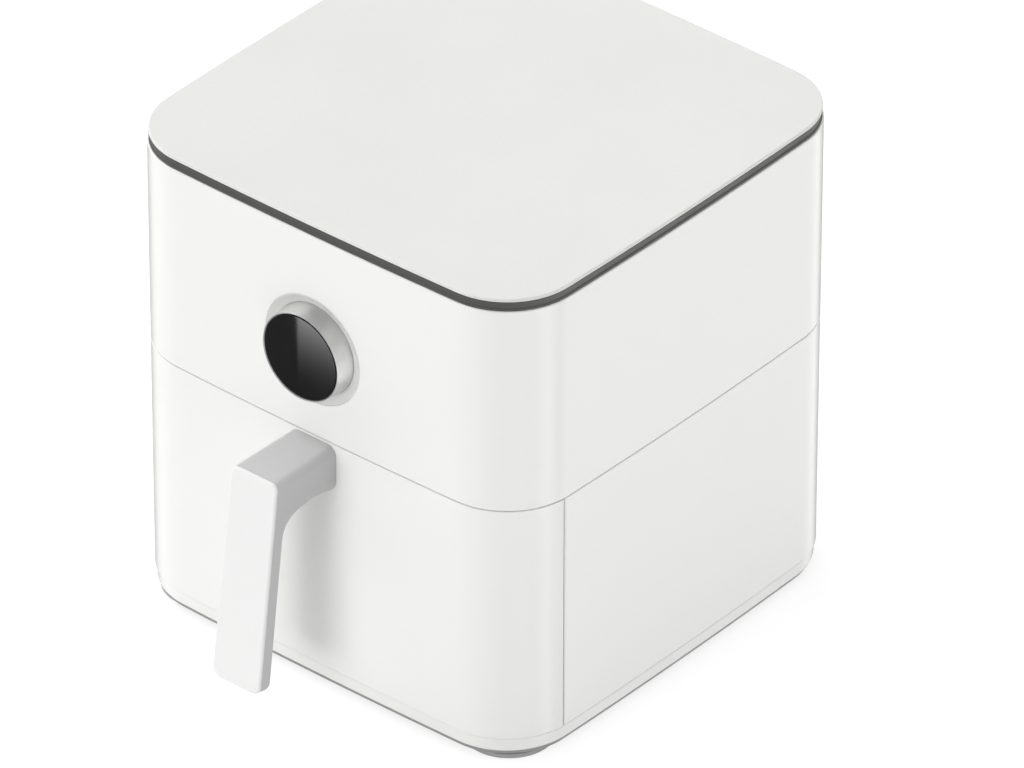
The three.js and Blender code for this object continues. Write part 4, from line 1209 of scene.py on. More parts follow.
@dataclass(frozen=True)
class Base:
    """What the fryer stands on: feet, base plate, skirt and the screws through the feet."""

    foot_hole: float = 0.0044
    foot_edge: float = 0.0009
    groove_depth: float = 0.0006
    plate_inset: float = 0.0031
    plate_edge: float = 0.0009
    plate_lap: float = 0.004
    skirt_inset: float = 0.0012
    skirt_wall: float = 0.003
    skirt_round: float = 0.0016
    skirt_edge: float = 0.001
    skirt_gap: float = 0.00018

    def foot(self, corner: str) -> Object:
        """A round rubber foot with grip rings underneath.

        Args:
            corner: The corner it stands in, as in its node's name.

        Returns:
            The piece's object.
        """
        solid = Solid.of(f"foot_{corner}")
        radius, height, edge = solid.width / 2, solid.height, self.foot_edge
        profile = [(self.foot_hole, height), (self.foot_hole, 0.0)]
        for share in (0.45, 0.63, 0.81):
            groove = [(0.0, 0.0), (1.0, 1.0), (3.0, 1.0), (4.0, 0.0)]
            profile += [(radius * share + self.groove_depth * u, self.groove_depth * v) for u, v in groove]
        profile += arc(radius - edge, edge, edge, -QUARTER, 0, 4) + [(radius, height)]
        centre = solid.middle.x, solid.middle.y, solid.low.z
        return object_from(turned(profile, centre, Axis.UP, 72), f"foot_pad_{corner}")

    def plate(self) -> Object:
        """The dark plate under the skirt.

        Returns:
            The piece's object.
        """
        solid, inset, edge = Solid.of("base_plate"), self.plate_inset, self.plate_edge
        bend = [(inset + edge - i, solid.low.z + edge - z) for i, z in arc(0, 0, edge, QUARTER, 0, 4)]
        lap = inset + self.plate_lap
        rows = [(lap, solid.low.z), *bend, (inset, solid.high.z), (lap, solid.high.z)]
        return stacked("base_tray", PLAN.ring(), rows)

    def skirt(self) -> Object:
        """The moulded ring round the bottom edge.

        Returns:
            The piece's object.
        """
        solid, edge, outer = Solid.of("base_skirt"), self.skirt_edge, self.skirt_inset
        low, high, inner = solid.low.z, solid.high.z - self.skirt_gap, outer + self.skirt_wall
        corners = [(outer, low, self.skirt_round), (outer, high, edge)]
        corners += [(inner, high, edge), (inner, low, edge)]
        return hoop("skirt_moulding", corners, 5)

    def screws(self, nodes: Sequence[str]) -> Object:
        """The four cross-head screws, seen in the feet from below.

        Args:
            nodes: The screws' nodes.

        Returns:
            The piece's object.
        """
        solids = [Solid.of(node) for node in nodes]
        points = [(s.middle.x, s.middle.y, s.low.z) for s in solids]
        return Screws(solids[0].height, Axis.UP).make("base_screw_set", points)

    def build(self) -> None:
        """Makes and dresses the base."""
        for corner in CORNERS:
            dress(self.foot(corner), FOOT_RUBBER, f"foot_{corner}")
        dress(self.plate(), PLATE_GREY, "base_plate")
        dress(self.skirt(), WHITE_GLOSS, "base_skirt")
        screws = [f"base_screw_{corner}" for corner in CORNERS]
        dress(self.screws(screws), SCREW_STEEL, *screws)


@dataclass(frozen=True)
class Housing:
    """The white outer walls, the dark air-intake ring, whose dark tone also paints the shade of the gap
    under the lid, and the lid.
    """

    wall: float = 0.003
    edge: float = 0.0008
    seam_gap: float = 0.00055
    ledge: float = 0.010
    ledge_thickness: float = 0.003
    ledge_round: float = 0.0002
    band_inset: float = 0.0009
    band_width: float = 0.007
    band_groove: float = 0.0006
    band_border: float = 0.0012
    lid_inset: float = 0.00075
    lid_round: float = 0.0008
    lid_lap: float = 0.004
    dial_hole: float = 0.03447
    duct_clearance: float = 0.0003
    gland_hole: float = 0.0083

    def lower_wall(self) -> Object:
        """The wall beside and behind the drawer, with the hole for the cord gland.

        Returns:
            The piece's object.
        """
        run = PLAN.back(self.seam_gap / 2)
        wall = wall_strip("lower_wall", "lower_housing", run, self.wall, self.edge)
        gland = Solid.of("cord_gland")
        centre = gland.middle.x, gland.high.y, gland.middle.z
        return cut(wall, drill(self.gland_hole, -0.02, 0.03, centre, 48))

    def upper_wall(self) -> Object:
        """The wall round the heater, with the holes for the dial and the air duct.

        Returns:
            The piece's object.
        """
        solid, edge, ledge = Solid.of("upper_housing"), self.edge, self.ledge
        low, high, under = solid.low.z, solid.high.z, solid.high.z - self.ledge_thickness
        corners = [(0, low, edge), (0, high, edge), (ledge, high, edge), (ledge, under, edge)]
        corners += [(self.wall, under, self.ledge_round), (self.wall, low, edge)]
        dial, duct, gap = Solid.of("dial_bezel").middle, Solid.of("exhaust_duct"), self.duct_clearance
        hole = drill(self.dial_hole, -0.02, 0.01, (dial.x, PLAN.centre_y - PLAN.half, dial.z), 128)
        back = PLAN.centre_y + PLAN.half
        opening = block((duct.low.x - gap, back - 0.02, duct.low.z - gap),
                        (duct.high.x + gap, back + 0.01, duct.high.z + gap))
        return cut(hoop("upper_wall", corners, 3), hole, opening)

    def intake_ring(self) -> Object:
        """The dark ring under the lid, with a shallow groove round its face. It stands flush with the walls,
        so its dark tone also paints the shade of the gap under the lid.

        Returns:
            The piece's object.
        """
        solid, outer, border = Solid.of("intake_ring"), self.band_inset, self.band_border
        low, high, inner, dip = solid.low.z, solid.high.z, outer + self.band_width, outer + self.band_groove
        slope = border + self.band_groove
        return hoop("intake_band", [
            (outer, low, 0.0003), (outer, low + border, 0.0002), (dip, low + slope, 0.0002),
            (dip, high - slope, 0.0002), (outer, high - border, 0.0002), (outer, high, 0.0003),
            (inner, high, 0.0003), (inner, low, 0.0003),
        ], 2)

    def lid(self) -> Object:
        """The flat lid with a fine rounded edge.

        Returns:
            The piece's object.
        """
        solid, r, inset = Solid.of("top_cover"), self.lid_round, self.lid_inset
        low, high = solid.low.z, solid.high.z
        rows = [(inset + 0.003, low), (inset + r * 0.6, low), (inset, low + r * 0.6)]
        rows += [(inset + r - i, high - r + z) for i, z in arc(0, 0, r, 0, QUARTER, 5)]
        return stacked("lid", PLAN.ring(), rows + [(inset + self.lid_lap, high), (inset + 0.03, high)])

    def build(self) -> None:
        """Makes and dresses the outer walls, ring and lid."""
        dress(self.lower_wall(), WHITE_GLOSS, "lower_housing")
        dress(self.upper_wall(), WHITE_GLOSS, "upper_housing")
        # The ring's dark finish also paints the shade of the gap under the lid.
        dress(self.intake_ring(), BAND_DARK_AND_GAP_SHADE, "intake_ring")
        dress(self.lid(), LID_WHITE, "top_cover")


@dataclass(frozen=True)
class Back:
    """The vent cover that spaces the fryer from a wall, the duct behind it and the cord gland."""

    wall: float = 0.0025
    corner: float = 0.012
    rear_round: float = 0.004
    gap: float = 0.0003
    slots: int = 7
    slot_height: float = 0.004
    blade_depth: float = 0.009
    blade_sheet: float = 0.0012
    blade_lean: float = math.radians(38)
    blade_lap: float = 0.002
    blade_back: float = 0.0036
    blade_drop: float = 0.0026
    gland_neck: float = 0.008
    gland_flange: float = 0.0115
    flange_thickness: float = 0.0035
    gland_bore: float = 0.0038
    duct_edge: float = 0.0003
    cover_open: float = 0.004
    cutter_reach: float = 0.02

    def shell(self, solid: Solid, shrink: float, front: float) -> BMesh:
        """A rounded block standing out of the back wall.

        Args:
            solid: The vent cover's box.
            shrink: How much smaller the block is all round and behind.
            front: How far its front edge goes past the wall's face.

        Returns:
            The block.
        """
        x, z, middle = solid.width / 2 - shrink, solid.height / 2 - shrink, solid.middle.z
        edge = self.rear_round - shrink * 0.6
        start = solid.high.y - shrink - edge
        rings = []
        bend = [(start + y, edge - i) for i, y in arc(0, 0, edge, 0, QUARTER, 5)]
        for depth, inset in [(None, 0.0), *bend]:
            right, top, radius = x - inset, z - inset, self.corner - shrink - inset
            ends = ((right, -top), (right, top), (-right, top), (-right, -top))
            rings.append([(u, PLAN.centre_y + PLAN.crown(u) + front if depth is None else depth, v + middle)
                          for u, v in filleted([(*end, radius) for end in ends], 8)])
        return skinned(rings, False)

    def cover(self) -> Object:
        """The hollow cover with its row of louvres.

        Returns:
            The piece's object.
        """
        solid = Solid.of("rear_vent_cover")
        shell = object_from(self.shell(solid, 0.0, self.gap), "vent_cover")
        cut(shell, self.shell(solid, self.wall, -self.cover_open))
        pitch = (solid.height - 2 * self.corner) / (self.slots - 1)
        recipe = Recipe("louvres", Slots=self.slots, Pitch=pitch, Slot_Height=self.slot_height,
                        Slot_Width=solid.width - 2 * self.corner, Blade_Depth=self.blade_depth)
        given = recipe.given
        span = recipe.times(recipe.math("SUBTRACT", given["Slots"], 1), given["Pitch"])
        low = recipe.plus(recipe.times(span, -0.5), solid.middle.z)
        line = recipe.add("GeometryNodeMeshLine", {
            "Count": given["Slots"], "Start Location": recipe.vector(0.0, solid.high.y, low),
            "Offset": recipe.vector(z=given["Pitch"])})
        outline = recipe.add("GeometryNodeCurvePrimitiveQuadrilateral", {
            "Width": given["Slot Width"], "Height": given["Slot Height"]})
        end_round = recipe.times(given["Slot Height"], 0.49)
        outline = recipe.add(
            "GeometryNodeFilletCurve", {"Curve": outline, "Count": 6, "Radius": end_round}, mode="POLY")
        face = recipe.add("GeometryNodeFillCurve", {0: outline}, mode="NGONS")
        inputs = {"Mesh": face, "Offset Scale": self.cutter_reach, "Individual": False}
        tool = recipe.add("GeometryNodeExtrudeMesh", inputs)
        tool = recipe.joined(tool, recipe.add("GeometryNodeFlipFaces", {0: face}))
        tool = recipe.add("GeometryNodeMergeByDistance", {"Geometry": tool, "Distance": 0.00001})
        tool = recipe.moved(recipe.moved(tool, (0, 0, -self.cutter_reach / 2)), turn=(QUARTER, 0, 0))
        blade_width = recipe.plus(given["Slot Width"], 2 * self.blade_lap)
        blade_size = recipe.vector(blade_width, given["Blade Depth"], self.blade_sheet)
        blade = recipe.cube(blade_size)
        blade = recipe.moved(blade, turn=(self.blade_lean, 0, 0))
        blade = recipe.moved(blade, (0, -self.wall - self.blade_back, -self.blade_drop))
        body = recipe.carved(given["Geometry"], recipe.placed(line, tool))
        return recipe.make(shell, recipe.joined(body, recipe.placed(line, blade)), VENT_WHITE)

    def gland(self) -> Object:
        """The rubber bush that the cord leaves through.

        Returns:
            The piece's object.
        """
        solid = Solid.of("cord_gland")
        bore, neck, flange, proud = self.gland_bore, self.gland_neck, self.gland_flange, solid.depth
        under = proud - self.flange_thickness
        profile = filleted([
            (bore, 0.0, 0.0004), (neck, 0.0, 0.0004), (neck, under, 0), (flange, under, 0.0003),
            (flange - 0.0012, proud, 0.001), (bore + 0.0004, proud, 0.0006), (bore, proud - 0.0012, 0.0004),
        ], 3)
        centre = solid.middle.x, solid.low.y, solid.middle.z
        return object_from(turned([(r, -d) for r, d in profile], centre, segments=48), "cord_bush")

    def build(self) -> None:
        """Makes and dresses the back."""
        dress(self.cover(), VENT_WHITE, "rear_vent_cover")
        dress(self.gland(), FOOT_RUBBER, "cord_gland")
        dress(refined_copy("exhaust_duct", "air_duct", self.duct_edge), SHEET_STEEL, "exhaust_duct")


@dataclass(frozen=True)
class Dial:
    """The round control: a dished bezel, a flared metal ring that turns and a glass display that presses."""

    dish: float = 0.0018
    lip: float = 0.00598
    lip_round: float = 0.0006
    well_edge: float = 0.0005
    bezel_radius: float = 0.0344
    bezel_flange: float = 0.0036
    bezel_wall: float = 0.002
    bezel_seat: float = 0.0036
    encoder_hole: float = 0.0052
    ring_front: float = 0.0274
    ring_base: float = 0.0283
    ring_ledge: float = 0.0014
    rim_round: float = 0.0003
    flare_hollow: float = 0.0003
    flare_steps: int = 12
    glass_gap: float = 0.00025
    glass_edge: float = 0.0005
    slope_end: float = 0.0008
    well_step: float = 0.0004
    rim_drop: float = 0.00025
    rim_inside: float = 0.0005
    face_inset: float = 0.0004

    @property
    def centre(self) -> Triple:
        """Where the dial's axis meets the front's crown."""
        middle = Solid.of("dial_ring").middle
        return middle.x, PLAN.centre_y - PLAN.half, middle.z

    def depth(self, y: float) -> float:
        """How far a place is in front of the front's crown."""
        return self.centre[1] - y

    def bezel(self) -> Object:
        """The satin dish round the ring, and the well behind it.

        Returns:
            The piece's object.
        """
        back, radius, seat = self.depth(Solid.of("dial_bezel").high.y), self.bezel_radius, -self.bezel_seat
        well, lip, wall = radius - self.lip, self.lip_round, self.bezel_wall
        slope = self.lip - self.well_edge - self.slope_end
        profile = [(well, -self.dish - self.well_step), (well + self.well_edge, -self.dish)]
        for t in (0.25, 0.5, 0.75, 1):
            profile.append((well + self.well_edge + slope * t, -self.dish * (1 - t**1.6)))
        profile += arc(radius - lip, -lip, lip, QUARTER, 0, 4)
        profile += [
            (radius, seat), (radius + self.bezel_flange, seat), (radius + self.bezel_flange, seat - wall),
            (well + wall, seat - wall), (well + wall, back), (self.encoder_hole, back),
            (self.encoder_hole, back + wall), (well, back + wall),
        ]
        return object_from(turned(profile, self.centre), "bezel_dish")

    def ring(self) -> Object:
        """The flared ring with a fine bright rim.

        Returns:
            The piece's object.
        """
        glass, base, tip = Solid.of("display_glass"), self.ring_base, self.ring_front
        skirt, front = self.depth(Solid.of("dial_ring").high.y), self.depth(glass.low.y)
        recess, ledge = glass.width / 2 + self.glass_gap, self.depth(glass.high.y) - self.glass_gap
        bore = recess - self.ring_ledge
        profile = [(bore, skirt), (base, skirt)]
        for t in (i / self.flare_steps for i in range(self.flare_steps + 1)):
            hollow = self.flare_hollow * 4 * t * (1 - t)
            profile.append((base + (tip - base) * t - hollow, front * 0.97 * t))
        profile += arc(tip - self.rim_round, front - self.rim_drop, self.rim_round, 0, math.pi * 0.85, 4)
        profile += [(recess, front - self.rim_inside), (recess, ledge), (bore, ledge)]
        return object_from(turned(profile, self.centre), "dial_grip_ring")

    def glass(self) -> Object:
        """The display's glass with a ground edge.

        Returns:
            The piece's object.
        """
        solid, edge = Solid.of("display_glass"), self.glass_edge
        back, front, radius = self.depth(solid.high.y), self.depth(solid.low.y), solid.width / 2
        profile = [(0, back), (radius, back)] + arc(radius - edge, front - edge, edge, 0, QUARTER, 4)
        profile += [(radius - edge - self.face_inset, front), (0, front)]
        return object_from(turned(profile, self.centre), "display_window")

    def build(self) -> Object:
        """Makes and dresses the dial.

        Returns:
            The display's glass, which the studio lights.
        """
        ring_metal = BrushedMetal("ring_metal", "brushed_metal", (0.78, 0.78, 0.775), 0.45,
                                  Brushing.ROUND_THE_DIAL, self.centre, line=0.00028, depth=0.0000025,
                                  stain=0.02, anisotropy=0.95)
        dress(self.bezel(), BEZEL_GREY, "dial_bezel")
        dress(self.ring(), ring_metal, "dial_ring")
        return dress(self.glass(), DISPLAY_BLACK, "display_glass")


@dataclass(frozen=True)
class Handle:
    """The hooked handle: a grey arm and grip, with a white cover on the front of the grip."""

    arm_height: float = 0.026
    arm_reach: float = 0.0497
    root_drop: float = 0.0055
    grip_height: float = 0.1324
    grip_lean: float = 0.0183
    grip_thickness: float = 0.0104
    elbow_round: float = 0.015
    tip_round: float = 0.005
    width_top: float = 0.0332
    width_tip: float = 0.035
    cover_thickness: float = 0.0015
    cover_gap: float = 0.0001
    cover_edge: float = 0.0013
    top_corner: float = 0.0042
    tip_corner: float = 0.0062
    back_round: float = 0.0024
    elbow_edge: float = 0.003
    tip_slope: float = 3.0
    wall_round: float = 0.006
    root_round: float = 0.0095
    face_edge: float = 0.0003
    elbow_swell: float = 0.0006
    front_stops: tuple[float, ...] = (0.008, 0.03, 0.06, 0.09)
    back_stops: tuple[float, ...] = (0.09, 0.06)
    front_stop_end: float = 0.011
    back_stop_end: float = 0.012
    elbow_stop: float = 0.004
    steps: int = 7

    @property
    def lean(self) -> float:
        """The grip's angle from upright."""
        return math.atan2(self.grip_lean, self.grip_height)

    @property
    def length(self) -> float:
        """The grip's length along itself."""
        return self.grip_height / math.cos(self.lean)

    @property
    def top(self) -> Vector:
        """The front top edge, as Y and Z."""
        return Vector((PLAN.centre_y - PLAN.half - self.arm_reach, Solid.of("handle").high.z))

    @property
    def down(self) -> Vector:
        """The way down the grip."""
        return Vector((-math.sin(self.lean), -math.cos(self.lean)))

    @property
    def inward(self) -> Vector:
        """The way into the grip from its front."""
        return Vector((math.cos(self.lean), -math.sin(self.lean)))

    def at(self, along: float, depth: float) -> Vector:
        """A place on the grip, by length down it and depth behind its front."""
        return self.top + self.down * along + self.inward * depth

    def width(self, z: float) -> float:
        """The handle's width at a height."""
        share = (self.top.y - z) / self.grip_height
        return self.width_top + (self.width_tip - self.width_top) * min(max(share, 0.0), 1.0)

    def side_profile(self) -> list[tuple[Vector, Vector, float]]:
        """The body from the side.

        Returns:
            Each place, the way into the body there, and how round its edge is.
        """
        root, top, under = Solid.of("handle").high.y, self.top.y, self.top.y - self.arm_height
        down, inward, up = self.down, self.inward, Vector((0, 1))
        depth, back, length = self.cover_thickness + self.cover_gap, self.grip_thickness, self.length
        front = self.at(0, depth)
        front.y = top
        places = []
        for t in (i / 8 for i in range(8)):
            edge = self.wall_round + (self.top_corner - self.wall_round) * t
            places.append((Vector((root + (front.x - root) * t, top)), -up, edge))
        places.append((front, down, self.top_corner))
        stops = (*self.front_stops, length - self.front_stop_end)
        places += [(self.at(along, depth), inward, self.face_edge) for along in stops]
        places.append((self.at(length, depth), -down, self.tip_corner))
        centre = self.at(length, back) - (down + inward) * self.tip_round
        for t in (i / 5 for i in range(6)):
            out = down * math.cos(QUARTER * t) + inward * math.sin(QUARTER * t)
            edge = self.tip_corner + (self.back_round - self.tip_corner) * t
            places.append((centre + out * self.tip_round, -out, edge))
        drop = (self.at(0, back).y - under) / math.cos(self.lean)
        reach = drop + self.elbow_round / math.tan((QUARTER + self.lean) / 2)
        stops = (length - self.back_stop_end, *self.back_stops, reach + self.elbow_stop)
        places += [(self.at(along, back), -inward, self.back_round) for along in stops]
        hub = self.at(reach, back + self.elbow_round)
        begin = math.atan2(-inward.y, -inward.x)
        turn = (QUARTER - begin + math.pi) % TURN - math.pi
        for i, (x, y) in enumerate(arc(0, 0, 1, begin, begin + turn, 8)):
            out = Vector((x, y))
            places.append((hub + out * self.elbow_round, out, self.back_round + self.elbow_swell * i / 8))
        last = places[-1][0].x
        for t in (i / 8 for i in range(1, 9)):
            place = Vector((last + (root - last) * t, under - self.root_drop * t * t))
            places.append((place, up, self.elbow_edge + (self.root_round - self.elbow_edge) * t))
        return places

    def body(self) -> Object:
        """The grey arm and grip with rounded edges.

        Returns:
            The piece's object.
        """
        profile, rings = self.side_profile(), []
        for turn in (QUARTER * i / self.steps for i in range(self.steps + 1)):
            ring = []
            for place, inward, radius in profile:
                spot = place + inward * (radius * (1 - math.sin(turn)))
                ring.append((self.width(spot.y) / 2 - radius * (1 - math.cos(turn)), spot.x, spot.y))
            rings.append(ring)
        rings += [[(-x, y, z) for x, y, z in ring] for ring in reversed(rings)]
        return object_from(skinned(rings, False), "handle_bar")

    def cover(self) -> Object:
        """The white cover with soft edges and round corners.

        Returns:
            The piece's object.
        """
        edge, rings = self.cover_edge, []
        for depth, inset in [(self.cover_thickness, 0.0)] + arc(edge, edge, edge, 3 * QUARTER, math.pi, 6):
            top, tip, first = self.width_top / 2 - inset, self.width_tip / 2 - inset, inset
            last = self.length - inset * self.tip_slope
            top_round, tip_round = self.top_corner - inset, self.tip_corner - inset
            outline = filleted([(top, first, top_round), (tip, last, tip_round),
                                (-tip, last, tip_round), (-top, first, top_round)], 8)
            rings.append([(u, *self.at(v, depth)) for u, v in outline])
        return object_from(skinned(rings, False), "grip_cover")

    def build(self) -> None:
        """Makes and dresses the handle."""
        dress(self.body(), HANDLE_GREY, "handle")
        dress(self.cover(), HANDLE_WHITE, "handle_front_cover")


@dataclass(frozen=True)
class Drawer:
    """The drawer: front panel, inner panel, pan, bracket, screws and handle."""

    wall: float = 0.003
    edge: float = 0.0006
    seam_gap: float = 0.0008
    rim: float = 0.003
    rim_thickness: float = 0.002
    pan_wall: float = 0.0015
    pan_corner: float = 0.034
    foot_round: float = 0.006
    floor_round: float = 0.0035
    floor_step: float = 0.0006
    step_inset: float = 0.022
    step_width: float = 0.0012
    under_inset: float = 0.026
    panel_edge: float = 0.0008
    bracket_edge: float = 0.0004

    def pan(self) -> Object:
        """The pressed pan with a rolled rim and a stepped floor.

        Returns:
            The piece's object.
        """
        solid = Solid.of("drawer_pan")
        low, high, wall, rim = solid.low.z, solid.high.z, self.pan_wall, self.rim
        foot, inner, under, floor = self.foot_round, self.floor_round, high - self.rim_thickness, low + wall
        bends = [(1 - math.sin(a), 1 - math.cos(a)) for a in (0.4, 0.8, 1.2, QUARTER)]
        rows = [(self.under_inset, low), (foot, low)]
        rows += [(foot * u, low + foot * v) for u, v in bends]
        rows += [
            (0.0, under - 0.002), (-0.0006, under - 0.0006), (-0.0014, under), (0.0008 - rim, under),
            (0.0002 - rim, under + 0.0003), (-rim, under + 0.001), (0.0002 - rim, high - 0.0003),
            (0.0008 - rim, high), (-0.0006, high), (wall - 0.0008, high - 0.0002),
            (wall - 0.0002, high - 0.0009), (wall, high - 0.0018), (wall, floor + inner),
        ]
        rows += [(wall + inner * v, floor + inner * u) for u, v in bends]
        step, sunk = self.step_inset, floor - self.floor_step
        rows += [(step, floor), (step + self.step_width, sunk), (self.under_inset, sunk)]
        ring = square_stations(solid.width / 2 - rim, self.pan_corner, solid.middle.y)
        return stacked("pan", ring, rows)

    def screws(self, nodes: Sequence[str]) -> Object:
        """The two screws that hold the handle, seen from inside the drawer.

        Args:
            nodes: The screws' nodes.

        Returns:
            The piece's object.
        """
        solids = [Solid.of(node) for node in nodes]
        points = [(s.middle.x, s.high.y, s.middle.z) for s in solids]
        return Screws(solids[0].depth, Axis.FORWARD).make("handle_screw_set", points)

    def build(self) -> None:
        """Makes and dresses the drawer."""
        run = PLAN.front(self.seam_gap / 2)
        panel = wall_strip("drawer_panel", "drawer_front", run, self.wall, self.edge)
        dress(panel, WHITE_GLOSS, "drawer_front")
        dress(self.pan(), PAN_COATING, "drawer_pan")
        screws = ["handle_screw_left", "handle_screw_right"]
        dress(self.screws(screws), SCREW_STEEL, *screws)
        inner = refined_copy("drawer_inner_panel", "inner_panel", self.panel_edge)
        dress(inner, INNER_DARK, "drawer_inner_panel")
        dress(refined_copy("pan_bracket", "pan_hook", self.bracket_edge), BRACKET_STEEL, "pan_bracket")
        Handle().build()


@dataclass(frozen=True)
class Grill:
    """The lift-out plate with its rows of holes and its four silicone bumpers."""

    corner: float = 0.0295
    pitch: float = 0.017
    hole: float = 0.004
    rows: int = 13
    edge: float = 0.0004
    hole_edge: float = 0.00035
    cutter_height: float = 0.01
    bumper_edge: float = 0.0009

    def plate(self) -> Object:
        """The pierced plate.

        Returns:
            The piece's object.
        """
        solid, edge = Solid.of("grill_plate"), self.edge
        low, high, width = solid.low.z, solid.high.z, solid.width
        section = [(edge, low), (0, low + edge), (0, high - edge), (edge, high)]
        sheet = stacked("crisper_plate", square_stations(width / 2, self.corner, solid.middle.y), section)
        recipe = Recipe("pierced_plate", Pitch=self.pitch, Hole_Radius=self.hole, Rows=self.rows,
                        Reach=width * 0.79)
        given = recipe.given
        span = recipe.times(recipe.math("SUBTRACT", given["Rows"], 1), given["Pitch"])
        grid = recipe.add("GeometryNodeMeshGrid", {
            "Size X": span, "Size Y": span, "Vertices X": given["Rows"], "Vertices Y": given["Rows"]})
        x, y, _ = recipe.parts(recipe.add("GeometryNodeInputPosition"))
        away = recipe.plus(recipe.math("ABSOLUTE", x), recipe.math("ABSOLUTE", y))
        outside = recipe.math("GREATER_THAN", away, given["Reach"])
        grid = recipe.add("GeometryNodeDeleteGeometry", {"Geometry": grid, "Selection": outside})
        hole = recipe.cylinder(20, given["Hole Radius"], self.cutter_height)
        holes = recipe.placed(recipe.moved(grid, tuple(solid.middle)), hole)
        plate = recipe.make(sheet, recipe.carved(given["Geometry"], holes), PAN_COATING)
        return settle(plate, "BEVEL", width=self.hole_edge, segments=2, limit_method="ANGLE",
                      angle_limit=math.radians(60))

    def build(self) -> None:
        """Makes and dresses the plate and bumpers."""
        dress(self.plate(), PAN_COATING, "grill_plate")
        for side in ("front", "rear", "left", "right"):
            node = f"plate_bumper_{side}"
            dress(refined_copy(node, f"bumper_{side}", self.bumper_edge), BUMPER_SILICONE, node)


@dataclass(frozen=True)
class Chamber:
    """The inside: tunnel, deck, rails, and the heater with its guard, element and fans."""

    tube: float = 0.0032
    tube_sides: int = 14
    outer_turn: float = 0.084
    inner_turn: float = 0.058
    outer_height: float = 0.020
    inner_height: float = 0.011
    lead_reach: float = 0.094
    lead_step: float = 0.016
    lead_bend: float = 0.012
    guard_wire: float = 0.0014
    guard_rings: tuple[float, float] = (0.030, 0.062)
    hub: float = 0.009
    blade_sheet: float = 0.0008
    blade_bend: float = 0.006
    blade_gap: float = 0.002
    blade_drop: float = 0.0004
    frame_edge: float = 0.0005
    rail_edge: float = 0.0012
    dome_edge: float = 0.0004

    def element(self) -> Object:
        """The bent heating tube.

        Returns:
            The piece's object.
        """
        housing = Solid.of("heater_housing")
        axis = Vector((housing.middle.x, housing.middle.y, housing.low.z))
        outer, inner, lead = self.outer_height, self.inner_height, self.lead_reach
        top = Solid.of("heating_element").high.z - axis.z

        def spot(radius: float, degrees: float, height: float) -> Vector:
            """A place round the heater's axis, above the deck."""
            a = math.radians(degrees)
            return axis + Vector((radius * math.cos(a), radius * math.sin(a), height))

        rise, bend = top - self.lead_step, outer + self.lead_bend
        path = [spot(lead, 70, h) for h in (top, rise, bend)]
        path += [spot(self.outer_turn, d, outer) for d in range(84, 397, 12)]
        path.append(spot((self.outer_turn + self.inner_turn) / 2, 412, (outer + inner) / 2))
        path += [spot(self.inner_turn, d, inner) for d in range(396, 131, -12)]
        path += [spot(0.070, 112, inner), spot(lead - 0.006, 110, inner)]
        path += [spot(lead, 110, h) for h in (outer, bend, rise, top)]
        recipe = Recipe("heating_tube", Tube_Radius=self.tube, Sides=self.tube_sides)
        curve = recipe.add("GeometryNodeMeshToCurve", {0: recipe.given["Geometry"]})
        curve = recipe.add("GeometryNodeCurveSplineType", {0: curve}, spline_type="CATMULL_ROM")
        curve = recipe.add("GeometryNodeResampleCurve", {"Curve": curve, "Count": 260})
        ring = recipe.circle(recipe.given["Sides"], recipe.given["Tube Radius"])
        tube = recipe.tube(curve, ring)
        return recipe.make(points_object("heating_tube", path, path=True), tube, ELEMENT_STEEL)

    def guard(self) -> Object:
        """The wire guard under the heater: two rings, an outer hoop and six spokes.

        Returns:
            The piece's object.
        """
        solid, wire = Solid.of("heater_guard"), self.guard_wire
        inner, outer = self.guard_rings
        recipe = Recipe("wire_guard", Wire=wire, Inner_Ring=inner, Outer_Ring=outer,
                        Hoop=solid.width / 2 - wire, Spokes=3)
        given = recipe.given
        rings = [recipe.circle(96, given[ring]) for ring in ("Inner Ring", "Outer Ring", "Hoop")]
        back = recipe.times(given["Hoop"], -1.0)
        line = recipe.add("GeometryNodeCurvePrimitiveLine", {
            "Start": recipe.vector(back), "End": recipe.vector(given["Hoop"])})
        spokes = recipe.real(recipe.fanned(line, given["Spokes"], math.pi, math.pi / 12))
        wires = recipe.tube(recipe.joined(*rings, spokes), recipe.circle(10, given["Wire"]))
        flat = recipe.moved(wires, tuple(solid.middle), scale=(1, 1, solid.height / (2 * wire)))
        return recipe.make(points_object("guard", [(0, 0, 0)]), flat, HEATER_STEEL)

    def fan(self, node: str, name: str, blades: int, finish: Finish) -> Object:
        """A bladed wheel under a disc.

        Args:
            node: The CAD node that gives its size and place.
            name: The piece's name.
            blades: How many blades it has.
            finish: Its finish.

        Returns:
            The wheel.
        """
        solid = Solid.of(node)
        recipe = Recipe(name, Radius=solid.width / 2, Height=solid.height, Hub=self.hub,
                        Blades=blades, Sheet=self.blade_sheet)
        radius, height, core, sheet = (recipe.given[size] for size in ("Radius", "Height", "Hub", "Sheet"))
        lift = recipe.times(recipe.math("SUBTRACT", height, sheet), 0.5)
        disc = recipe.moved(recipe.cylinder(96, radius, sheet), recipe.vector(z=lift))
        hub = recipe.cylinder(40, core, height)
        chord = recipe.math("SUBTRACT", radius, recipe.plus(core, self.blade_gap))
        size = recipe.vector(chord, sheet, recipe.math("SUBTRACT", height, self.blade_drop))
        blade = recipe.add("GeometryNodeMeshCube", {"Size": size, "Vertices X": 12})
        x = recipe.parts(recipe.add("GeometryNodeInputPosition"))[0]
        share = recipe.math("POWER", recipe.math("DIVIDE", x, chord), 2.0)
        bend = recipe.vector(y=recipe.times(share, self.blade_bend))
        blade = recipe.add("GeometryNodeSetPosition", {"Geometry": blade, "Offset": bend})
        middle = recipe.times(recipe.plus(radius, core), 0.5)
        ring = recipe.fanned(recipe.moved(blade, recipe.vector(middle)), recipe.given["Blades"], TURN)
        wheel = recipe.moved(recipe.joined(disc, hub, ring), tuple(solid.middle))
        return recipe.make(points_object(name, [(0, 0, 0)]), wheel, finish)

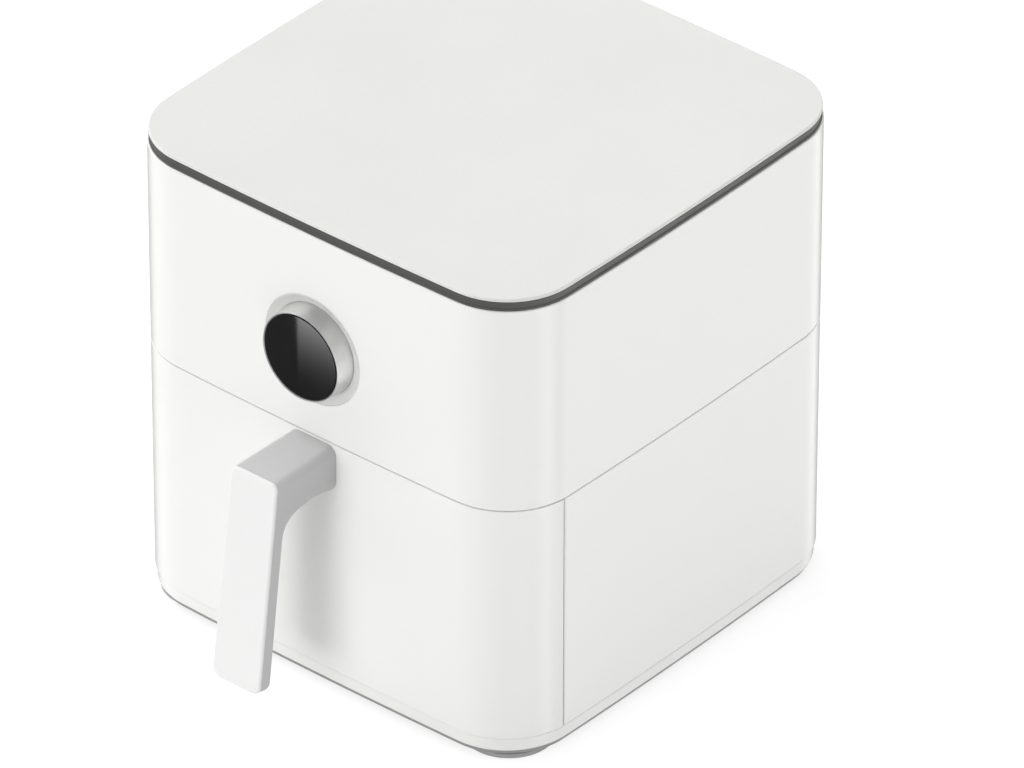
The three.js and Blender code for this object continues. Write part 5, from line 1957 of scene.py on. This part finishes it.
    def build(self) -> None:
        """Makes and dresses the inside."""
        dress(refined_copy("inner_frame", "drawer_tunnel", self.frame_edge), FRAME_DARK, "inner_frame")
        dress(refined_copy("deck", "deck_plate", self.frame_edge), FRAME_DARK, "deck")
        for side in ("left", "right"):
            node = f"drawer_rail_{side}"
            dress(refined_copy(node, f"rail_{side}", self.rail_edge), RAIL_RUBBER, node)
        dress(self.element(), ELEMENT_STEEL, "heating_element")
        dress(self.guard(), HEATER_STEEL, "heater_guard")
        dress(refined_copy("heater_housing", "heater_dome", self.dome_edge), HEATER_STEEL, "heater_housing")
        dress(self.fan("hot_fan", "hot_air_fan", 10, HEATER_STEEL), HEATER_STEEL, "hot_fan")
        dress(self.fan("cooling_fan", "motor_fan", 8, SMALL_DARK), SMALL_DARK, "cooling_fan")


def paint_hidden_parts() -> None:
    """Gives the working parts inside the walls, which keep their solids, their finishes."""
    paint_nodes(SHEET_STEEL, "motor_bracket", "fan_motor", "temperature_sensor", "dial_encoder")
    paint_nodes(SCREW_STEEL, "motor_shaft", "fan_nut")
    paint_nodes(SMALL_DARK, "cooling_shroud", "thermal_cutout", "drawer_switch", "display_carrier")
    paint_nodes(PIN_WHITE, "switch_plunger")
    paint_nodes(BOARD_GREEN, "power_board", "control_board")


# ---------------------------------------------------------------- studio
@dataclass(frozen=True)
class Lobe:
    """A soft bright or dark patch of surroundings, even as far as one angle and gone at another."""

    azimuth: float
    elevation: float
    inner: float
    outer: float
    strength: float

    @property
    def toward(self) -> Triple:
        """Its direction; azimuth 0 is in front and 90 to the right."""
        a, e = math.radians(self.azimuth), math.radians(self.elevation)
        return math.sin(a) * math.cos(e), -math.cos(a) * math.cos(e), math.sin(e)

    def shown(self, graph: Graph, direction: Any) -> Node:
        """How much of it shows in a direction.

        Args:
            graph: The tree to add to.
            direction: The direction's vector.

        Returns:
            Its strength there, from 0 outside it.
        """
        settings = {0: direction, 1: self.toward}
        dot = graph.add("ShaderNodeVectorMath", settings, operation="DOT_PRODUCT").outputs["Value"]
        low, high = math.cos(math.radians(self.outer)), math.cos(math.radians(self.inner))
        inputs = {"Value": dot, 1: low, 2: high, 3: 0.0, 4: self.strength}
        return graph.add("ShaderNodeMapRange", inputs, interpolation_type="SMOOTHSTEP")


@dataclass(frozen=True)
class Studio:
    """Camera, floor and light."""

    camera_at: Triple = (3.48799, -4.089586, 3.753313)
    camera_turn: Triple = (56.054975, -0.066366, 40.235672)
    lens: float = 405.219
    camera_reach: float = 60.0
    soft_lights: tuple[Lobe, ...] = (
        Lobe(0, 6, 6, 24, 1.63), Lobe(0, 6, 4, 15, 2.6), Lobe(0, 20, 6, 24, 1.92),
        Lobe(0, 10, 0, 38, 0.8), Lobe(120, 10, 0, 38, 1.64), Lobe(150, 10, 0, 38, 1.29),
        Lobe(-90, 42, 0, 42, 2.35), Lobe(-90, 10, 0, 38, 0.51), Lobe(0, 90, 0, 45, 1.33),
    )
    reflected: float = 0.56
    reflections: tuple[Lobe, ...] = (
        Lobe(-80, -34, 2, 24, 0.3), Lobe(75, -34, 8, 32, 1.0), Lobe(115, -34, 8, 32, 0.85),
        Lobe(101, -34, 3, 13, 1.4), Lobe(155, -34, 8, 34, 1.2), Lobe(-130, 34, 4, 44, 0.84),
        Lobe(-140, -34, 24, 32, -0.56), Lobe(184, -34, 4, 20, 0.2), Lobe(0, 86, 10, 40, -0.56),
        Lobe(90, 4, 8, 30, 0.9), Lobe(-80, 30, 10, 32, 0.7),
    )
    panel_power: float = 0.13
    panel_reach: float = 0.05
    panel_edge: float = -0.009
    panel_fade: float = 2.6
    glass_lead: float = 0.0075
    floor_radius: float = 40.0
    floor_glow: float = 0.8
    floor_tone: float = 0.3
    floor_seen_in_gloss: float = 0.82

    @property
    def rotation(self) -> Euler:
        """The camera's turn."""
        return Euler([math.radians(angle) for angle in self.camera_turn])

    def camera(self) -> None:
        """Makes the camera."""
        data = bpy.data.cameras.new("camera")
        data.lens, data.clip_end = self.lens, self.camera_reach
        camera = bpy.data.objects.new("camera", data)
        camera.location, camera.rotation_euler = self.camera_at, self.rotation
        bpy.context.scene.collection.objects.link(camera)
        bpy.context.scene.camera = camera

    def world(self) -> None:
        """Makes the surroundings: white to the camera, soft light to surfaces, gentle contrast to gloss."""
        world = bpy.data.worlds.new("studio")
        world.use_nodes = True
        bpy.context.scene.world = world
        graph = Graph(world.node_tree)
        graph.tree.nodes.clear()
        direction = graph.add("ShaderNodeTexCoord").outputs["Generated"]
        path = graph.add("ShaderNodeLightPath").outputs
        light, mirrored = 0.0, self.reflected
        for lobe in self.soft_lights:
            light = graph.plus(lobe.shown(graph, direction), light)
        for lobe in self.reflections:
            mirrored = graph.plus(lobe.shown(graph, direction), mirrored)
        choice = graph.add("ShaderNodeMix", {0: path["Is Glossy Ray"], 2: light, 3: mirrored})
        seen = graph.add("ShaderNodeMix", {0: path["Is Camera Ray"], 2: choice, 3: 1.0})
        shader = graph.add("ShaderNodeBackground", {"Color": (1, 1, 1, 1), "Strength": seen})
        graph.add("ShaderNodeOutputWorld", {"Surface": shader})

    def floor(self) -> None:
        """Makes a wide pale floor that shows white but keeps the shadow."""
        shape = bmesh.new()
        bmesh.ops.create_circle(shape, cap_ends=True, segments=96, radius=self.floor_radius)
        floor = object_from(shape, "floor")
        paint = Surface("floor_paint")
        paint.tree.nodes.remove(paint.shader)
        matte, plain = (
            paint.add("ShaderNodeBsdfDiffuse", {"Color": (tone, tone, tone, 1)})
            for tone in (self.floor_tone, self.floor_seen_in_gloss)
        )
        glow = paint.add("ShaderNodeEmission", {"Strength": self.floor_glow})
        shown = paint.add("ShaderNodeAddShader", {0: matte, 1: glow})
        seen = paint.add("ShaderNodeLightPath").outputs["Is Camera Ray"]
        mixed = paint.add("ShaderNodeMixShader", {0: seen, 1: plain, 2: shown})
        paint.feed(paint.output.inputs["Surface"], mixed)
        floor.data.materials.append(paint.material)
        floor.visible_glossy = False

    def display_light(self, glass: Object) -> None:
        """Makes the narrow panel that only the display's glass mirrors.

        Args:
            glass: The display's glass.
        """
        solid = Solid.of("display_glass")
        radius, middle = solid.width / 2, solid.middle
        to_camera = self.rotation.to_matrix().col[2]
        mirrored = Vector((-to_camera.x, to_camera.y, -to_camera.z))
        spot = Vector((middle.x, middle.y - self.glass_lead, middle.z)) + mirrored * self.panel_reach
        edge, right = self.panel_edge, radius * 1.15
        data = bpy.data.lights.new("display_panel", "AREA")
        data.shape, data.size, data.size_y = "RECTANGLE", right - edge, radius * 2.3
        data.energy, data.color, data.use_nodes = self.panel_power, (1, 1, 1), True
        graph = Graph(data.node_tree)
        graph.tree.nodes.clear()
        across = graph.parts(graph.add("ShaderNodeNewGeometry").outputs["Parametric"])[1]
        fade = graph.math("POWER", across, self.panel_fade)
        graph.add("ShaderNodeOutputLight", {0: graph.add("ShaderNodeEmission", {"Strength": fade})})
        light = bpy.data.objects.new("display_panel", data)
        light.location = spot + Vector(((edge + right) / 2, 0, 0))
        light.rotation_euler = (QUARTER, 0, 0)
        light.visible_camera = light.visible_diffuse = False
        bpy.context.scene.collection.objects.link(light)
        only = bpy.data.collections.new("display_only")
        only.objects.link(glass)
        light.light_linking.receiver_collection = light.light_linking.blocker_collection = only

    def build(self, glass: Object) -> None:
        """Sets the studio up.

        Args:
            glass: The display's glass.
        """
        bpy.context.scene.view_settings.view_transform = "Standard"
        self.camera()
        self.world()
        self.floor()
        self.display_light(glass)


def main() -> None:
    """Builds the fryer and its studio."""
    logging.basicConfig(level=logging.INFO, format="%(message)s")
    for assembly in (Base(), Housing(), Back()):
        assembly.build()
    glass = Dial().build()
    for assembly in (Drawer(), Grill(), Chamber()):
        assembly.build()
    paint_hidden_parts()
    Studio().build(glass)


if __name__ == "__main__":
    main()
